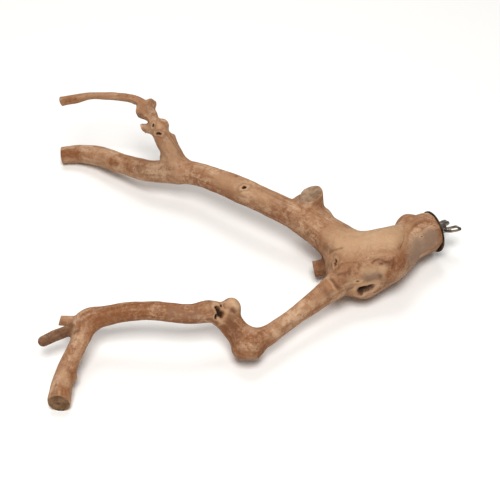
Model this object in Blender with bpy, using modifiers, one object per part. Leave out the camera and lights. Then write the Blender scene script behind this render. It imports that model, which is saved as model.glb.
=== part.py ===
"""A forked branch with a hanger bolt, two washers and a wing nut at its sawn butt.

The frame is metres with +Z up. The bolt's axis is +X, and the branch rests on z = 0 on its burl, on the
foot of its leg and on the sawn end of its far limb.
"""

import math

import bmesh
import bpy
from mathutils import Matrix, Vector

MM = 0.001
INCH = 0.0254

# Hardware, all on one axis. Lengths along the axis start at the sawn face of the butt.
BOLT_RADIUS = 0.25 * INCH / 2
BOLT_BURIED = 0.026
BOLT_OUT = 0.0134
BOLT_CHAMFER = 0.0007
FIT_GAP = 0.0003
WASHER_RADIUS = 1.5 * INCH / 2
WASHER_THICKNESS = 0.0015
WASHER_HOLE_RADIUS = BOLT_RADIUS + 2 * FIT_GAP
SMALL_WASHER_RADIUS = 0.0080
SMALL_WASHER_START = 0.0058
SMALL_WASHER_THICKNESS = 0.0012
NUT_START = SMALL_WASHER_START + SMALL_WASHER_THICKNESS + FIT_GAP
NUT_HUB_LENGTH = 0.0060
NUT_BASE_RADIUS = 0.0056
NUT_TOP_RADIUS = 0.0048
WING_THICKNESS = 0.0040
WING_TURN = math.radians(-25)

# Every limb is laid out from this point, just outside the butt. The bolt's axis leaves the butt beside it.
LAYOUT_ORIGIN = Vector((0.1767, -0.1005, 0.0248))
BUTT_CENTRE = LAYOUT_ORIGIN + Vector((-0.0032, 0.0005, -0.0008))

# Limbs are runs of (x, y, z, radius) in millimetres from the layout's origin.
BUTT_RUN = [
    (14, 2, 0, 17.2),
    (-3, 0, 0, 17.5),
    (-22, -3, 2.7, 18.0),
    (-36, -6, 3.2, 18.5),
    (-50, -10, 3, 22.3),
    (-71, -13, 4, 26.2),
    (-90, -10, 5, 26.5),
    (-96, -8, 6, 24.0),
]
UPPER_RUN = [
    (-90, -6, 7, 22.5),
    (-95, 24, 10, 16.4),
    (-104, 42, 13, 14.4),
    (-113, 57, 15, 12.3),
    (-128, 78, 17.5, 11.4),
    (-143, 102, 17.5, 11.6),
    (-156, 125, 15, 10.9),
    (-175, 155, 9, 11.0),
    (-184, 163, 7, 11.2),
]
FAR_RUN = [
    (-184, 163, 7, 11.2),
    (-203, 179, 1.5, 10.6),
    (-221, 206, -5, 9.7),
    (-240, 237, -11, 9.6),
    (-253, 249, -14, 8.7),
    (-268, 256, -16, 8.5),
    (-278, 260, -17, 8.4),
]
TWIG_RUN = [
    (-182, 165, 8, 11.5),
    (-184, 172, 22, 10.0),
    (-190, 185, 40, 8.6),
    (-193, 199, 53, 6.8),
    (-198, 210, 59, 5.0),
    (-215, 220, 64, 3.9),
    (-240, 234, 63, 3.7),
    (-252, 239, 60, 4.1),
    (-270, 251, 53, 4.5),
]
LOWER_RUN = [
    (-92, -18, 4, 15.0),
    (-111, -25, 3, 11.9),
    (-140, -34, 1, 8.7),
    (-175, -44, -2, 8.1),
    (-190, -48, -3, 9.0),
    (-205, -48, -3.5, 11.2),
]
KNOT_RUN = [
    (-205, -48, -3.5, 11.2),
    (-210, -36, 0, 10.6),
    (-216, -26, 9, 10.4),
    (-222, -20, 13, 9.8),
    (-243, -15, 16, 8.3),
    (-272, 0, 18, 8.2),
    (-300, 13, 13, 8.0),
    (-322, 17, 6, 8.8),
]
LEG_RUN = [
    (-320, 18, 7, 8.9),
    (-329, 9, 3, 7.6),
    (-344, -5, -4, 7.6),
    (-358, -21, -12, 8.4),
    (-364, -31, -15.4, 8.8),
    (-370, -42, -17.5, 8.8),
]
PRONG_RUN = [
    (-324, 17, 6, 5.4),
    (-338, 18, 5, 4.6),
    (-349, 19, 3, 4.7),
    (-363, 19, 0.8, 4.4),
]
SIDE_STUB_RUN = [(-318, 18, 7, 6.0), (-341, 32, 5, 3.9)]
TOP_STUB_RUN = [(-101, 50, 12, 11.5), (-97.5, 55.5, 24, 11.0), (-96.5, 57.5, 33.2, 10.4), (-96.2, 58.5, 42, 10.2)]
BACK_STUB_RUN = [(-90, 2, -8, 10.0), (-104, 7, -9.5, 8.0), (-122, 13, -11, 7.4)]

# Swellings are (x, y, z), three radii, in millimetres from the same point.
SWELLINGS = [
    ((-82, -12, -2.5), (30, 25, 20)),
    ((-66, -26, 8), (17, 14, 14)),
    ((-44, 9, -12.6), (25, 14, 12)),
    ((-27, 9.5, 9.5), (12.5, 8.5, 9)),
    ((-100, 66, 16), (10, 9, 9)),
    ((-91, 44, 14), (8, 9, 7.5)),
    ((-208.5, -50.5, -7), (12, 11.5, 11)),
    ((-208, -20, 12.5), (8, 9, 9)),
    ((-88, -31, -3), (15, 11, 11)),
    ((-188.5, 204.5, 58.5), (5.5, 5.5, 5.5)),
    ((-186.5, 187.5, 44.5), (6.5, 7, 7)),
    ((-199, 200, 52.5), (6, 5.5, 5.5)),
    ((-199, 190.5, 43), (6, 5, 5)),
    ((-180.5, 177, 32), (5, 5, 8)),
    ((-318, 21, 9), (11, 9, 8)),
]

# Sawn ends are (point on the cut, direction that the cut faces, half width), in millimetres.
SAWN_ENDS = [
    ((-268, 256, -16), (-0.93, 0.36, -0.05), 14),
    ((-263, 247, 56), (-0.86, 0.40, -0.30), 10),
    ((-365, -33, -16), (-0.45, -0.88, 0.10), 14),
    ((-96.5, 57.5, 33.2), (-0.30, 0.12, 0.945), 13),
    ((-116, 11, -10.5), (-0.93, 0.30, -0.15), 11),
    ((-209.5, -55.8, -13), (-0.29, -0.64, -0.71), 16),
    ((-14, -17.2, 4), (0.33, -0.93, 0.15), 18),
]
SAW_DEPTH = 22 * MM

# Knot holes and the burl's hollow are (x, y, z), three radii, in millimetres.
HOLLOWS = [
    ((-92, -42, 5), (7.5, 6.5, 3.6)),
    ((-107, -12, 15), (4.2, 4.0, 4.0)),
    ((-221.5, -27.5, 20.5), (3.8, 4.0, 5.6)),
    ((-144.6, 93.8, 28), (3.2, 3.2, 3.4)),
]

# Forks are (point on the cut, direction of the limb, radius of the cut), in millimetres.
FORKS = [
    ((-97, 27, 10.5), (-8, 17, 3), 21),
    ((-119, -27.5, 2.2), (-13, -4, -1), 15),
    ((-199, 175, 3), (-10, 8, -3.5), 14),
    ((-186, 175, 25), (-3, 8, 13), 12.5),
    ((-335, 3, 0), (-7.5, -7, -4), 11),
    ((-339, 17.5, 5), (-1, 0, 0), 7),
]

# One point inside each piece of the branch, in millimetres, by which the parted pieces get their names.
PIECE_POINTS = {
    "burl": (-60, -11, 3),
    "upper_limb": (-135, 90, 17),
    "far_limb": (-235, 225, -9),
    "knobbly_twig": (-215, 220, 64),
    "lower_limb": (-225, -20, 10),
    "leg": (-350, -12, -8),
    "prong": (-350, 19, 3),
}

VOXEL = 1.7 * MM
GRAIN_SCALE = 0.020
GRAIN_HEIGHT = 0.0022
KEPT_SHARE = 0.088


def remove_old_objects():
    """Empty the scene."""
    for thing in list(bpy.data.objects):
        bpy.data.objects.remove(thing, do_unlink=True)


def new_collection(name):
    """Make a collection in the scene."""
    collection = bpy.data.collections.new(name)
    bpy.context.scene.collection.children.link(collection)
    return collection


def new_material(name, colour, roughness, metallic=0.0):
    """Make a Principled material."""
    material = bpy.data.materials.new(name)
    material.use_nodes = True
    shader = material.node_tree.nodes["Principled BSDF"]
    shader.inputs["Base Color"].default_value = (*colour, 1.0)
    shader.inputs["Roughness"].default_value = roughness
    shader.inputs["Metallic"].default_value = metallic
    return material


def add_mesh(name, mesh, collection, material=None):
    """Put a mesh in a collection as an object."""
    thing = bpy.data.objects.new(name, mesh)
    if material:
        mesh.materials.clear()
        mesh.materials.append(material)
    collection.objects.link(thing)
    return thing


def finished_mesh(source, name):
    """Return a copy of an object's mesh as its modifiers leave it."""
    graph = bpy.context.evaluated_depsgraph_get()
    graph.update()
    mesh = bpy.data.meshes.new_from_object(source.evaluated_get(graph), depsgraph=graph)
    mesh.name = name
    return mesh


def in_frame(point):
    """Turn millimetres from the layout's origin into metres in the frame of the model."""
    return LAYOUT_ORIGIN + Vector(point) * MM


def limb_mesh(name, run, collection):
    """Return a tube that follows a run of stations, with closed ends."""
    curve = bpy.data.curves.new(name, "CURVE")
    curve.dimensions = "3D"
    curve.bevel_depth = MM
    curve.bevel_resolution = 4
    curve.resolution_u = 5
    curve.use_fill_caps = True
    spline = curve.splines.new("BEZIER")
    spline.bezier_points.add(len(run) - 1)
    for knot, (x, y, z, radius) in zip(spline.bezier_points, run):
        knot.co = in_frame((x, y, z))
        knot.radius = radius
        knot.handle_left_type = knot.handle_right_type = "AUTO"
    guide = bpy.data.objects.new(name, curve)
    collection.objects.link(guide)
    mesh = finished_mesh(guide, name)
    bpy.data.objects.remove(guide, do_unlink=True)
    return mesh


def swelling(shape, centre, radii):
    """Add one rounded swelling to a bmesh."""
    place = Matrix.Translation(in_frame(centre)) @ Matrix.Diagonal((*[r * MM for r in radii], 1.0))
    bmesh.ops.create_icosphere(shape, subdivisions=3, radius=1.0, matrix=place)


def facing(direction):
    """Return the rotation that turns +Z to a direction."""
    return Vector(direction).to_track_quat("Z", "Y").to_matrix().to_4x4()


def add_cutter(name, shape, collection):
    """Put a bmesh in the cutters' collection."""
    mesh = bpy.data.meshes.new(name)
    shape.to_mesh(mesh)
    shape.free()
    cutter = add_mesh(name, mesh, collection)
    cutter.hide_render = True
    cutter.display_type = "WIRE"
    return cutter


def sawn_end_cutter(name, point, direction, half_width, collection):
    """Make the block that a sawn end is cut off with."""
    half = half_width * MM
    place = Matrix.Translation(in_frame(point)) @ facing(direction)
    place = place @ Matrix.Translation((0, 0, SAW_DEPTH / 2)) @ Matrix.Diagonal((2 * half, 2 * half, SAW_DEPTH, 1))
    shape = bmesh.new()
    bmesh.ops.create_cube(shape, size=1.0, matrix=place)
    return add_cutter(name, shape, collection)


def fork_cutter(name, point, direction, radius, collection):
    """Make the thin disc that parts a limb from its fork."""
    shape = bmesh.new()
    bmesh.ops.create_cone(
        shape,
        cap_ends=True,
        segments=24,
        radius1=radius * MM,
        radius2=radius * MM,
        depth=FIT_GAP,
        matrix=Matrix.Translation(in_frame(point)) @ facing(direction),
    )
    return add_cutter(name, shape, collection)


def hollow_cutter(name, centre, radii, collection):
    """Make the rounded body that a knot hole is sunk with."""
    shape = bmesh.new()
    place = Matrix.Translation(in_frame(centre)) @ Matrix.Diagonal((*[r * MM for r in radii], 1.0))
    bmesh.ops.create_icosphere(shape, subdivisions=2, radius=1.0, matrix=place)
    return add_cutter(name, shape, collection)


def butt_cutter(collection):
    """Make the block that squares the butt off, and leaves a gap for the washer."""
    half = 30 * MM
    shape = bmesh.new()
    place = Matrix.Translation(BUTT_CENTRE + Vector((half - FIT_GAP, 0, 0)))
    bmesh.ops.create_cube(shape, size=2 * half, matrix=place)
    return add_cutter("butt_saw", shape, collection)


def bore_cutter(collection):
    """Make the drill for the buried end of the bolt."""
    shape = bmesh.new()
    depth = BOLT_BURIED + FIT_GAP + 5 * MM
    radius = BOLT_RADIUS + FIT_GAP
    place = Matrix.Translation(BUTT_CENTRE + Vector((5 * MM - depth / 2, 0, 0))) @ facing((1, 0, 0))
    bmesh.ops.create_cone(
        shape, cap_ends=True, segments=24, radius1=radius, radius2=radius, depth=depth, matrix=place
    )
    return add_cutter("bolt_drill", shape, collection)


def grown_blank(cutters):
    """Grow every limb and swelling into one closed skin."""
    runs = {
        "butt_run": BUTT_RUN,
        "upper_run": UPPER_RUN,
        "far_run": FAR_RUN,
        "twig_run": TWIG_RUN,
        "lower_run": LOWER_RUN,
        "knot_run": KNOT_RUN,
        "leg_run": LEG_RUN,
        "prong_run": PRONG_RUN,
        "side_stub_run": SIDE_STUB_RUN,
        "top_stub_run": TOP_STUB_RUN,
        "back_stub_run": BACK_STUB_RUN,
    }
    shape = bmesh.new()
    for name, run in runs.items():
        shape.from_mesh(limb_mesh(name, run, cutters))
    bmesh.ops.remove_doubles(shape, verts=shape.verts, dist=0.00001)
    for centre, radii in SWELLINGS:
        swelling(shape, centre, radii)
    mesh = bpy.data.meshes.new("grown_blank")
    shape.to_mesh(mesh)
    shape.free()
    blank = add_mesh("grown_blank", mesh, cutters)

    skin = blank.modifiers.new("skin", "REMESH")
    skin.mode = "VOXEL"
    skin.voxel_size = VOXEL
    soften = blank.modifiers.new("soften", "SMOOTH")
    soften.factor = 0.5
    soften.iterations = 6
    clouds = bpy.data.textures.new("grown_unevenness", "CLOUDS")
    clouds.noise_scale = GRAIN_SCALE
    uneven = blank.modifiers.new("uneven", "DISPLACE")
    uneven.texture = clouds
    uneven.texture_coords = "LOCAL"
    uneven.mid_level = 0.5
    uneven.strength = GRAIN_HEIGHT
    fewer = blank.modifiers.new("fewer", "DECIMATE")
    fewer.ratio = KEPT_SHARE
    return blank


def cut_blank(blank, cutters):
    """Saw the ends, part the forks and drill the butt, and return the finished mesh."""
    tools = [butt_cutter(cutters), bore_cutter(cutters)]
    for count, (point, direction, half_width) in enumerate(SAWN_ENDS):
        tools.append(sawn_end_cutter(f"end_saw_{count}", point, direction, half_width, cutters))
    for count, (centre, radii) in enumerate(HOLLOWS):
        tools.append(hollow_cutter(f"hollow_{count}", centre, radii, cutters))
    for count, (point, direction, radius) in enumerate(FORKS):
        tools.append(fork_cutter(f"fork_saw_{count}", point, direction, radius, cutters))
    for tool in tools:
        cut = blank.modifiers.new(tool.name, "BOOLEAN")
        cut.operation = "DIFFERENCE"
        cut.solver = "EXACT"
        cut.object = tool
    return finished_mesh(blank, "cut_branch")


def loose_pieces(mesh):
    """Part a mesh into its separate closed shells."""
    whole = bmesh.new()
    whole.from_mesh(mesh)
    waiting = set(whole.faces)
    pieces = []
    while waiting:
        group = {waiting.pop()}
        edge_of_group = list(group)
        while edge_of_group:
            face = edge_of_group.pop()
            for edge in face.edges:
                for other in edge.link_faces:
                    if other in waiting:
                        waiting.discard(other)
                        group.add(other)
                        edge_of_group.append(other)
        part = whole.copy()
        part.faces.ensure_lookup_table()
        kept = {face.index for face in group}
        gone = [face for face in part.faces if face.index not in kept]
        bmesh.ops.delete(part, geom=gone, context="FACES")
        pieces.append(part)
    whole.free()
    return pieces


def piece_name(part):
    """Return the name whose point lies nearest to a piece's surface."""
    def distance(name):
        point = in_frame(PIECE_POINTS[name])
        return min((vertex.co - point).length for vertex in part.verts)
    return min(PIECE_POINTS, key=distance)


def make_branch(branch, cutters):
    """Make the pieces of wood."""
    colours = {
        "burl": (0.55, 0.36, 0.19),
        "upper_limb": (0.60, 0.40, 0.22),
        "far_limb": (0.56, 0.37, 0.21),
        "knobbly_twig": (0.58, 0.40, 0.24),
        "lower_limb": (0.60, 0.41, 0.23),
        "leg": (0.57, 0.38, 0.22),
        "prong": (0.55, 0.38, 0.23),
    }
    blank = grown_blank(cutters)
    mesh = cut_blank(blank, cutters)
    for part in loose_pieces(mesh):
        name = piece_name(part)
        piece = bpy.data.meshes.new(name)
        part.to_mesh(piece)
        part.free()
        piece.shade_smooth()
        piece.set_sharp_from_angle(angle=math.radians(40))
        add_mesh(name, piece, branch, new_material(f"{name}_wood", colours[name], 0.75))
    bpy.data.objects.remove(blank, do_unlink=True)


def turned_on_axis(name, rings, branch, material, segments=32):
    """Make a turned piece on the bolt's axis from (distance along the axis, radius) pairs, closed in a loop."""
    shape = bmesh.new()
    corners = [shape.verts.new((along, 0, radius)) for along, radius in rings]
    for first, second in zip(corners, corners[1:] + corners[:1]):
        shape.edges.new((first, second))
    bmesh.ops.spin(
        shape,
        geom=list(shape.verts) + list(shape.edges),
        axis=(1, 0, 0),
        cent=(0, 0, 0),
        angle=2 * math.pi,
        steps=segments,
        use_merge=True,
    )
    bmesh.ops.remove_doubles(shape, verts=shape.verts, dist=0.00001)
    bmesh.ops.recalc_face_normals(shape, faces=shape.faces)
    mesh = bpy.data.meshes.new(name)
    shape.to_mesh(mesh)
    shape.free()
    mesh.shade_smooth()
    mesh.set_sharp_from_angle(angle=math.radians(35))
    thing = add_mesh(name, mesh, branch, material)
    thing.location = BUTT_CENTRE
    return thing


def make_bolt(branch, steel):
    """Make the hanger bolt, whose inner end is buried in the butt."""
    shape = bmesh.new()
    bmesh.ops.create_cone(
        shape,
        cap_ends=True,
        segments=24,
        radius1=BOLT_RADIUS,
        radius2=BOLT_RADIUS,
        depth=BOLT_BURIED + BOLT_OUT,
        matrix=Matrix.Translation(((BOLT_OUT - BOLT_BURIED) / 2, 0, 0)) @ facing((1, 0, 0)),
    )
    mesh = bpy.data.meshes.new("hanger_bolt")
    shape.to_mesh(mesh)
    shape.free()
    bolt = add_mesh("hanger_bolt", mesh, branch, steel)
    bolt.location = BUTT_CENTRE
    chamfer = bolt.modifiers.new("chamfer", "BEVEL")
    chamfer.width = BOLT_CHAMFER
    chamfer.segments = 1
    chamfer.limit_method = "ANGLE"
    chamfer.angle_limit = math.radians(60)
    return bolt


def washer_rings(start, thickness, radius):
    """Return the section of a washer with slightly broken edges."""
    edge = 0.2 * thickness
    hole = WASHER_HOLE_RADIUS
    end = start + thickness
    return [
        (start, hole),
        (start, radius - edge),
        (start + edge, radius),
        (end - edge, radius),
        (end, radius - edge),
        (end, hole),
    ]


def wing_mesh(side, cutters):
    """Return one wing of the nut, a flat outline with rounded corners, in the plane of the axis."""
    outline = [(2.0, 3.9), (5.5, 4.0), (9.5, 5.2), (14.0, 6.6), (14.0, 13.0), (11.0, 13.6), (6.0, 11.4), (2.0, 8.0)]
    curve = bpy.data.curves.new("wing", "CURVE")
    curve.dimensions = "2D"
    curve.fill_mode = "BOTH"
    curve.extrude = WING_THICKNESS / 2
    curve.resolution_u = 3
    spline = curve.splines.new("BEZIER")
    spline.bezier_points.add(len(outline) - 1)
    spline.use_cyclic_u = True
    for knot, (along, out) in zip(spline.bezier_points, outline):
        knot.co = (along * MM, out * MM, 0)
        knot.handle_left_type = knot.handle_right_type = "AUTO"
    guide = bpy.data.objects.new("wing", curve)
    cutters.objects.link(guide)
    mesh = finished_mesh(guide, "wing")
    bpy.data.objects.remove(guide, do_unlink=True)
    mesh.transform(Matrix.Rotation(WING_TURN + side * math.pi, 4, "X"))
    return mesh


def make_wing_nut(branch, cutters, material):
    """Make the wing nut, with its origin on the axis that it turns about."""
    nut = turned_on_axis(
        "wing_nut",
        [
            (0, BOLT_RADIUS + FIT_GAP),
            (0, NUT_BASE_RADIUS),
            (0.3 * NUT_HUB_LENGTH, NUT_BASE_RADIUS),
            (NUT_HUB_LENGTH, NUT_TOP_RADIUS),
            (NUT_HUB_LENGTH, BOLT_RADIUS + FIT_GAP),
        ],
        branch,
        material,
    )
    nut.location = BUTT_CENTRE + Vector((NUT_START, 0, 0))
    for side in range(2):
        shape = bmesh.new()
        shape.from_mesh(wing_mesh(side, cutters))
        bmesh.ops.remove_doubles(shape, verts=shape.verts, dist=0.00001)
        bmesh.ops.recalc_face_normals(shape, faces=shape.faces)
        wing = add_cutter(f"wing_{side}", shape, cutters)
        wing.location = nut.location
        join = nut.modifiers.new(f"wing_{side}", "BOOLEAN")
        join.operation = "UNION"
        join.solver = "EXACT"
        join.object = wing
    return nut


def make_hardware(branch, cutters):
    """Make the bolt, the washers and the wing nut."""
    zinc = new_material("zinc_plated_steel", (0.62, 0.62, 0.60), 0.32, 1.0)
    nut_zinc = new_material("wing_nut_zinc", (0.66, 0.65, 0.62), 0.38, 1.0)
    make_bolt(branch, zinc)
    turned_on_axis("fender_washer", washer_rings(0, WASHER_THICKNESS, WASHER_RADIUS), branch, zinc, 48)
    rings = washer_rings(SMALL_WASHER_START, SMALL_WASHER_THICKNESS, SMALL_WASHER_RADIUS)
    turned_on_axis("flat_washer", rings, branch, zinc)
    make_wing_nut(branch, cutters, nut_zinc)


def main():
    """Build the branch and its hardware."""
    remove_old_objects()
    branch = new_collection("branch")
    cutters = new_collection("cutters")
    make_branch(branch, cutters)
    make_hardware(branch, cutters)


if __name__ == "__main__":
    main()
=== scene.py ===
"""Looks of a forked branch perch: its sandblasted wood, threaded bolt, wing nut and a plain studio.

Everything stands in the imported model's own frame: metres, +Z up, the bolt's axis along +X.
"""

from __future__ import annotations

import logging
import math
from dataclasses import dataclass, field
from enum import Enum
from typing import Any, Sequence, Union

import bmesh
import bpy
import numpy as np
from mathutils import Matrix, Vector, noise

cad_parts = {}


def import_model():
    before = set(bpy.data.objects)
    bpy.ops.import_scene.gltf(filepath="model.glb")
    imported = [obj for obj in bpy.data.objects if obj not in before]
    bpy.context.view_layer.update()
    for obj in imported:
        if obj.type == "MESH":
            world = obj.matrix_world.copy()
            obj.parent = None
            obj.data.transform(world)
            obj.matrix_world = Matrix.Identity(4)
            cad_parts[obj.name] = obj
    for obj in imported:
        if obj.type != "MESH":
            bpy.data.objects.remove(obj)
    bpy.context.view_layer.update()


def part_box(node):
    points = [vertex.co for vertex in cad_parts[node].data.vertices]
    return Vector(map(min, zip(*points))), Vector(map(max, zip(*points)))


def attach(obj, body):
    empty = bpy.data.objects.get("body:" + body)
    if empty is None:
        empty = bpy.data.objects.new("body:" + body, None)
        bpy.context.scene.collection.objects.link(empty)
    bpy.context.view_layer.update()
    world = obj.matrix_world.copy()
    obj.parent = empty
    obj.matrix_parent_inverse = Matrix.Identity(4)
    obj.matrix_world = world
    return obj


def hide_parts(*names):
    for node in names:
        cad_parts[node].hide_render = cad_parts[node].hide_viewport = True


LOG = logging.getLogger("branch")

MM = 0.001
INCH = 0.0254
FAR_AWAY = 9.0
Number = Union[int, float]
Triple = tuple[float, float, float]
Station = tuple[float, float, float, float]
Points = np.ndarray


class BodyName(Enum):
    """The rigid bodies that the pieces ride on."""

    BRANCH = "branch"
    WING_NUT = "wing_nut"


class Slot(Enum):
    """Names for material slots, which nothing in this script uses."""

    WOOD = "wood"
    BOLT_STEEL = "bolt_steel"
    NUT_STEEL = "nut_steel"


class Stain(Enum):
    """The kinds of mark on the wood, each kept on the mesh under its own name: red and grey stains, pale
    marks that are partly painted highlight, and painted shade.
    """

    RED = "red"
    GREY = "grey"
    # pale marks of the wood's own round knots and along ridges, and painted highlight along the lit tops
    # of the burl and limbs
    PALE_AND_PAINTED_HIGHLIGHT = "pale"
    # painted shade: darker brown in crotches and hollows, on undersides and on the hidden back stub
    PAINTED_SHADE = "painted_shade"


def linear(red: Number, green: Number, blue: Number) -> tuple[float, float, float, float]:
    """Turn a display colour into the linear colour that shaders take.

    Args:
        red: The red channel, 0 to 255.
        green: The green channel, 0 to 255.
        blue: The blue channel, 0 to 255.

    Returns:
        The linear colour with full alpha.
    """
    channels = []
    for channel in (red, green, blue):
        share = channel / 255
        channels.append(share / 12.92 if share <= 0.04045 else ((share + 0.055) / 1.055) ** 2.4)
    return (channels[0], channels[1], channels[2], 1.0)


def smooth_step(low: Number, high: Number, values: Points) -> Points:
    """Return 0 below low, 1 above high, and a smooth ramp between them."""
    share = np.clip((values - low) / (high - low), 0.0, 1.0)
    return share * share * (3 - 2 * share)


def unit(vectors: Points) -> Points:
    """Return vectors scaled to a length of one."""
    length = np.linalg.norm(vectors, axis=-1, keepdims=True)
    return vectors / np.maximum(length, 1e-12)


def noise_at(points: Points, scale: Union[Number, Sequence[Number]], seed: Number) -> Points:
    """Return smooth noise, about -1 to 1, at each point.

    Args:
        points: The places, one row each.
        scale: Cycles a metre, the same for all axes or one for each.
        seed: A shift that gives another pattern.

    Returns:
        One value for each point.
    """
    places = points * np.asarray(scale, dtype=float) + seed
    return np.fromiter((noise.noise(place) for place in places.tolist()), dtype=float, count=len(places))


class Value:
    """A node's output or a plain number, on which Python's operators add Math nodes."""

    def __init__(self, graph: "Graph", socket: bpy.types.NodeSocket) -> None:
        """Wrap a socket of a node tree."""
        self.graph = graph
        self.socket = socket

    def _math(self, operation: str, *terms: Any, clamp: bool = False) -> "Value":
        """Return the result of a Math node over some terms."""
        settings = {"operation": operation, "use_clamp": clamp}
        return self.graph.node("ShaderNodeMath", settings, dict(enumerate(terms)))

    def __add__(self, other: Any) -> "Value":
        """Return self + other."""
        return self._math("ADD", self, other)

    def __radd__(self, other: Any) -> "Value":
        """Return other + self."""
        return self._math("ADD", other, self)

    def __sub__(self, other: Any) -> "Value":
        """Return self - other."""
        return self._math("SUBTRACT", self, other)

    def __rsub__(self, other: Any) -> "Value":
        """Return other - self."""
        return self._math("SUBTRACT", other, self)

    def __mul__(self, other: Any) -> "Value":
        """Return self * other."""
        return self._math("MULTIPLY", self, other)

    def __rmul__(self, other: Any) -> "Value":
        """Return other * self."""
        return self._math("MULTIPLY", other, self)

    def __truediv__(self, other: Any) -> "Value":
        """Return self / other."""
        return self._math("DIVIDE", self, other)

    def __rtruediv__(self, other: Any) -> "Value":
        """Return other / self."""
        return self._math("DIVIDE", other, self)

    def __pow__(self, other: Any) -> "Value":
        """Return self to the power of other."""
        return self._math("POWER", self, other)

    def __rpow__(self, other: Any) -> "Value":
        """Return other to the power of self."""
        return self._math("POWER", other, self)

    def sine(self) -> "Value":
        """Return the sine."""
        return self._math("SINE", self)

    def fraction(self) -> "Value":
        """Return the part after the decimal point."""
        return self._math("FRACT", self)

    def size(self) -> "Value":
        """Return the absolute value."""
        return self._math("ABSOLUTE", self)

    def turn_from(self, other: "Value") -> "Value":
        """Return the angle of the point (other, self)."""
        return self._math("ARCTAN2", self, other)

    def clamped(self) -> "Value":
        """Return the value held between 0 and 1."""
        return self._math("ADD", self, 0.0, clamp=True)

    def step(self, low: Number, high: Number) -> "Value":
        """Make a smooth ramp.

        Args:
            low: The value that gives 0. It may be the larger of the two.
            high: The value that gives 1.

        Returns:
            The ramp, held between 0 and 1.
        """
        settings = {"interpolation_type": "SMOOTHSTEP", "clamp": True}
        sockets = {0: self, 1: low, 2: high, 3: 0.0, 4: 1.0}
        if low > high:
            sockets = {0: self, 1: high, 2: low, 3: 1.0, 4: 0.0}
        return self.graph.node("ShaderNodeMapRange", settings, sockets)


class Graph:
    """A shader or geometry node tree that is written as expressions."""

    def __init__(self, tree: bpy.types.NodeTree) -> None:
        """Start from an empty tree."""
        self.tree = tree
        tree.nodes.clear()

    def node(self, kind: str, settings: dict[str, Any], sockets: dict[Any, Any], output: Any = 0) -> Value:
        """Add a node.

        Args:
            kind: The node's type.
            settings: Its properties, set before its sockets.
            sockets: Values or links of its inputs, by index or name.
            output: The index or name of the output to return.

        Returns:
            The chosen output.
        """
        made = self.tree.nodes.new(kind)
        for name, setting in settings.items():
            setattr(made, name, setting)
        for key, value in sockets.items():
            target = made.inputs[key]
            if isinstance(value, Value):
                self.tree.links.new(value.socket, target)
            else:
                target.default_value = value
        return Value(self, made.outputs[output])

    def link(self, value: Value, target: bpy.types.NodeSocket) -> None:
        """Join a value to an input."""
        self.tree.links.new(value.socket, target)

    def attribute(self, name: str) -> Value:
        """Return a number that is stored on the mesh."""
        return self.node("ShaderNodeAttribute", {"attribute_name": name}, {}, "Fac")

    def attribute_vector(self, name: str) -> Value:
        """Return a vector that is stored on the mesh."""
        return self.node("ShaderNodeAttribute", {"attribute_name": name}, {}, "Vector")

    def object_place(self) -> Value:
        """Return the object coordinates."""
        return self.node("ShaderNodeTexCoord", {}, {}, "Object")

    def axis(self, vector: Value, name: str) -> Value:
        """Return one component of a vector."""
        return self.node("ShaderNodeSeparateXYZ", {}, {0: vector}, name)

    def noise(
        self, vector: Value, cycles: Union[Number, Triple], detail: Number = 3.0, rough: Number = 0.5,
        bend: Number = 0.0, shift: Triple = (0.0, 0.0, 0.0),
    ) -> Value:
        """Make noise over a vector.

        Args:
            vector: The place, in metres.
            cycles: Cycles a metre, the same for all axes or one for each.
            detail: How many finer layers it has.
            rough: How strong the finer layers are.
            bend: How far it is bent.
            shift: An offset in cycles, which gives another pattern.

        Returns:
            The noise, from 0 to 1.
        """
        scale = cycles if isinstance(cycles, tuple) else (cycles,) * 3
        spread = {0: vector, 1: scale, 2: shift}
        place = self.node("ShaderNodeVectorMath", {"operation": "MULTIPLY_ADD"}, spread)
        sockets = {"Vector": place, "Scale": 1.0, "Detail": detail, "Roughness": rough, "Distortion": bend}
        return self.node("ShaderNodeTexNoise", {}, sockets, "Fac")

    def mix(self, share: Any, first: Any, second: Any) -> Value:
        """Return a mix of two colours."""
        settings = {"data_type": "RGBA", "blend_type": "MIX", "clamp_factor": True}
        return self.node("ShaderNodeMix", settings, {0: share, 6: first, 7: second}, 2)

    def finish(self, shader: Value) -> None:
        """Join a shader to the material's output."""
        out = self.tree.nodes.new("ShaderNodeOutputMaterial")
        self.link(shader, out.inputs["Surface"])


def new_material(name: str) -> tuple[bpy.types.Material, Graph]:
    """Make an empty material and its graph."""
    material = bpy.data.materials.new(name)
    material.use_nodes = True
    return material, Graph(material.node_tree)


def finish_surface(
    graph: Graph, colour: Any, rough: Any, metal: Number, height: Any, depth: Number, sheen: Number = 0.5
) -> None:
    """Close a material with a Principled shader and a bump.

    Args:
        graph: The material's graph.
        colour: The base colour.
        rough: The roughness.
        metal: 0 for wood, 1 for metal.
        height: The bump's height, 0 to 1.
        depth: What a height of 1 measures, in metres.
        sheen: How strongly the surface shines at glancing angles.
    """
    bump = graph.node("ShaderNodeBump", {}, {"Strength": 1.0, "Distance": depth, "Height": height})
    sockets = {
        "Base Color": colour, "Roughness": rough, "Metallic": metal, "Normal": bump,
        "Specular IOR Level": sheen,
    }
    graph.finish(graph.node("ShaderNodeBsdfPrincipled", {}, sockets))


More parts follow.
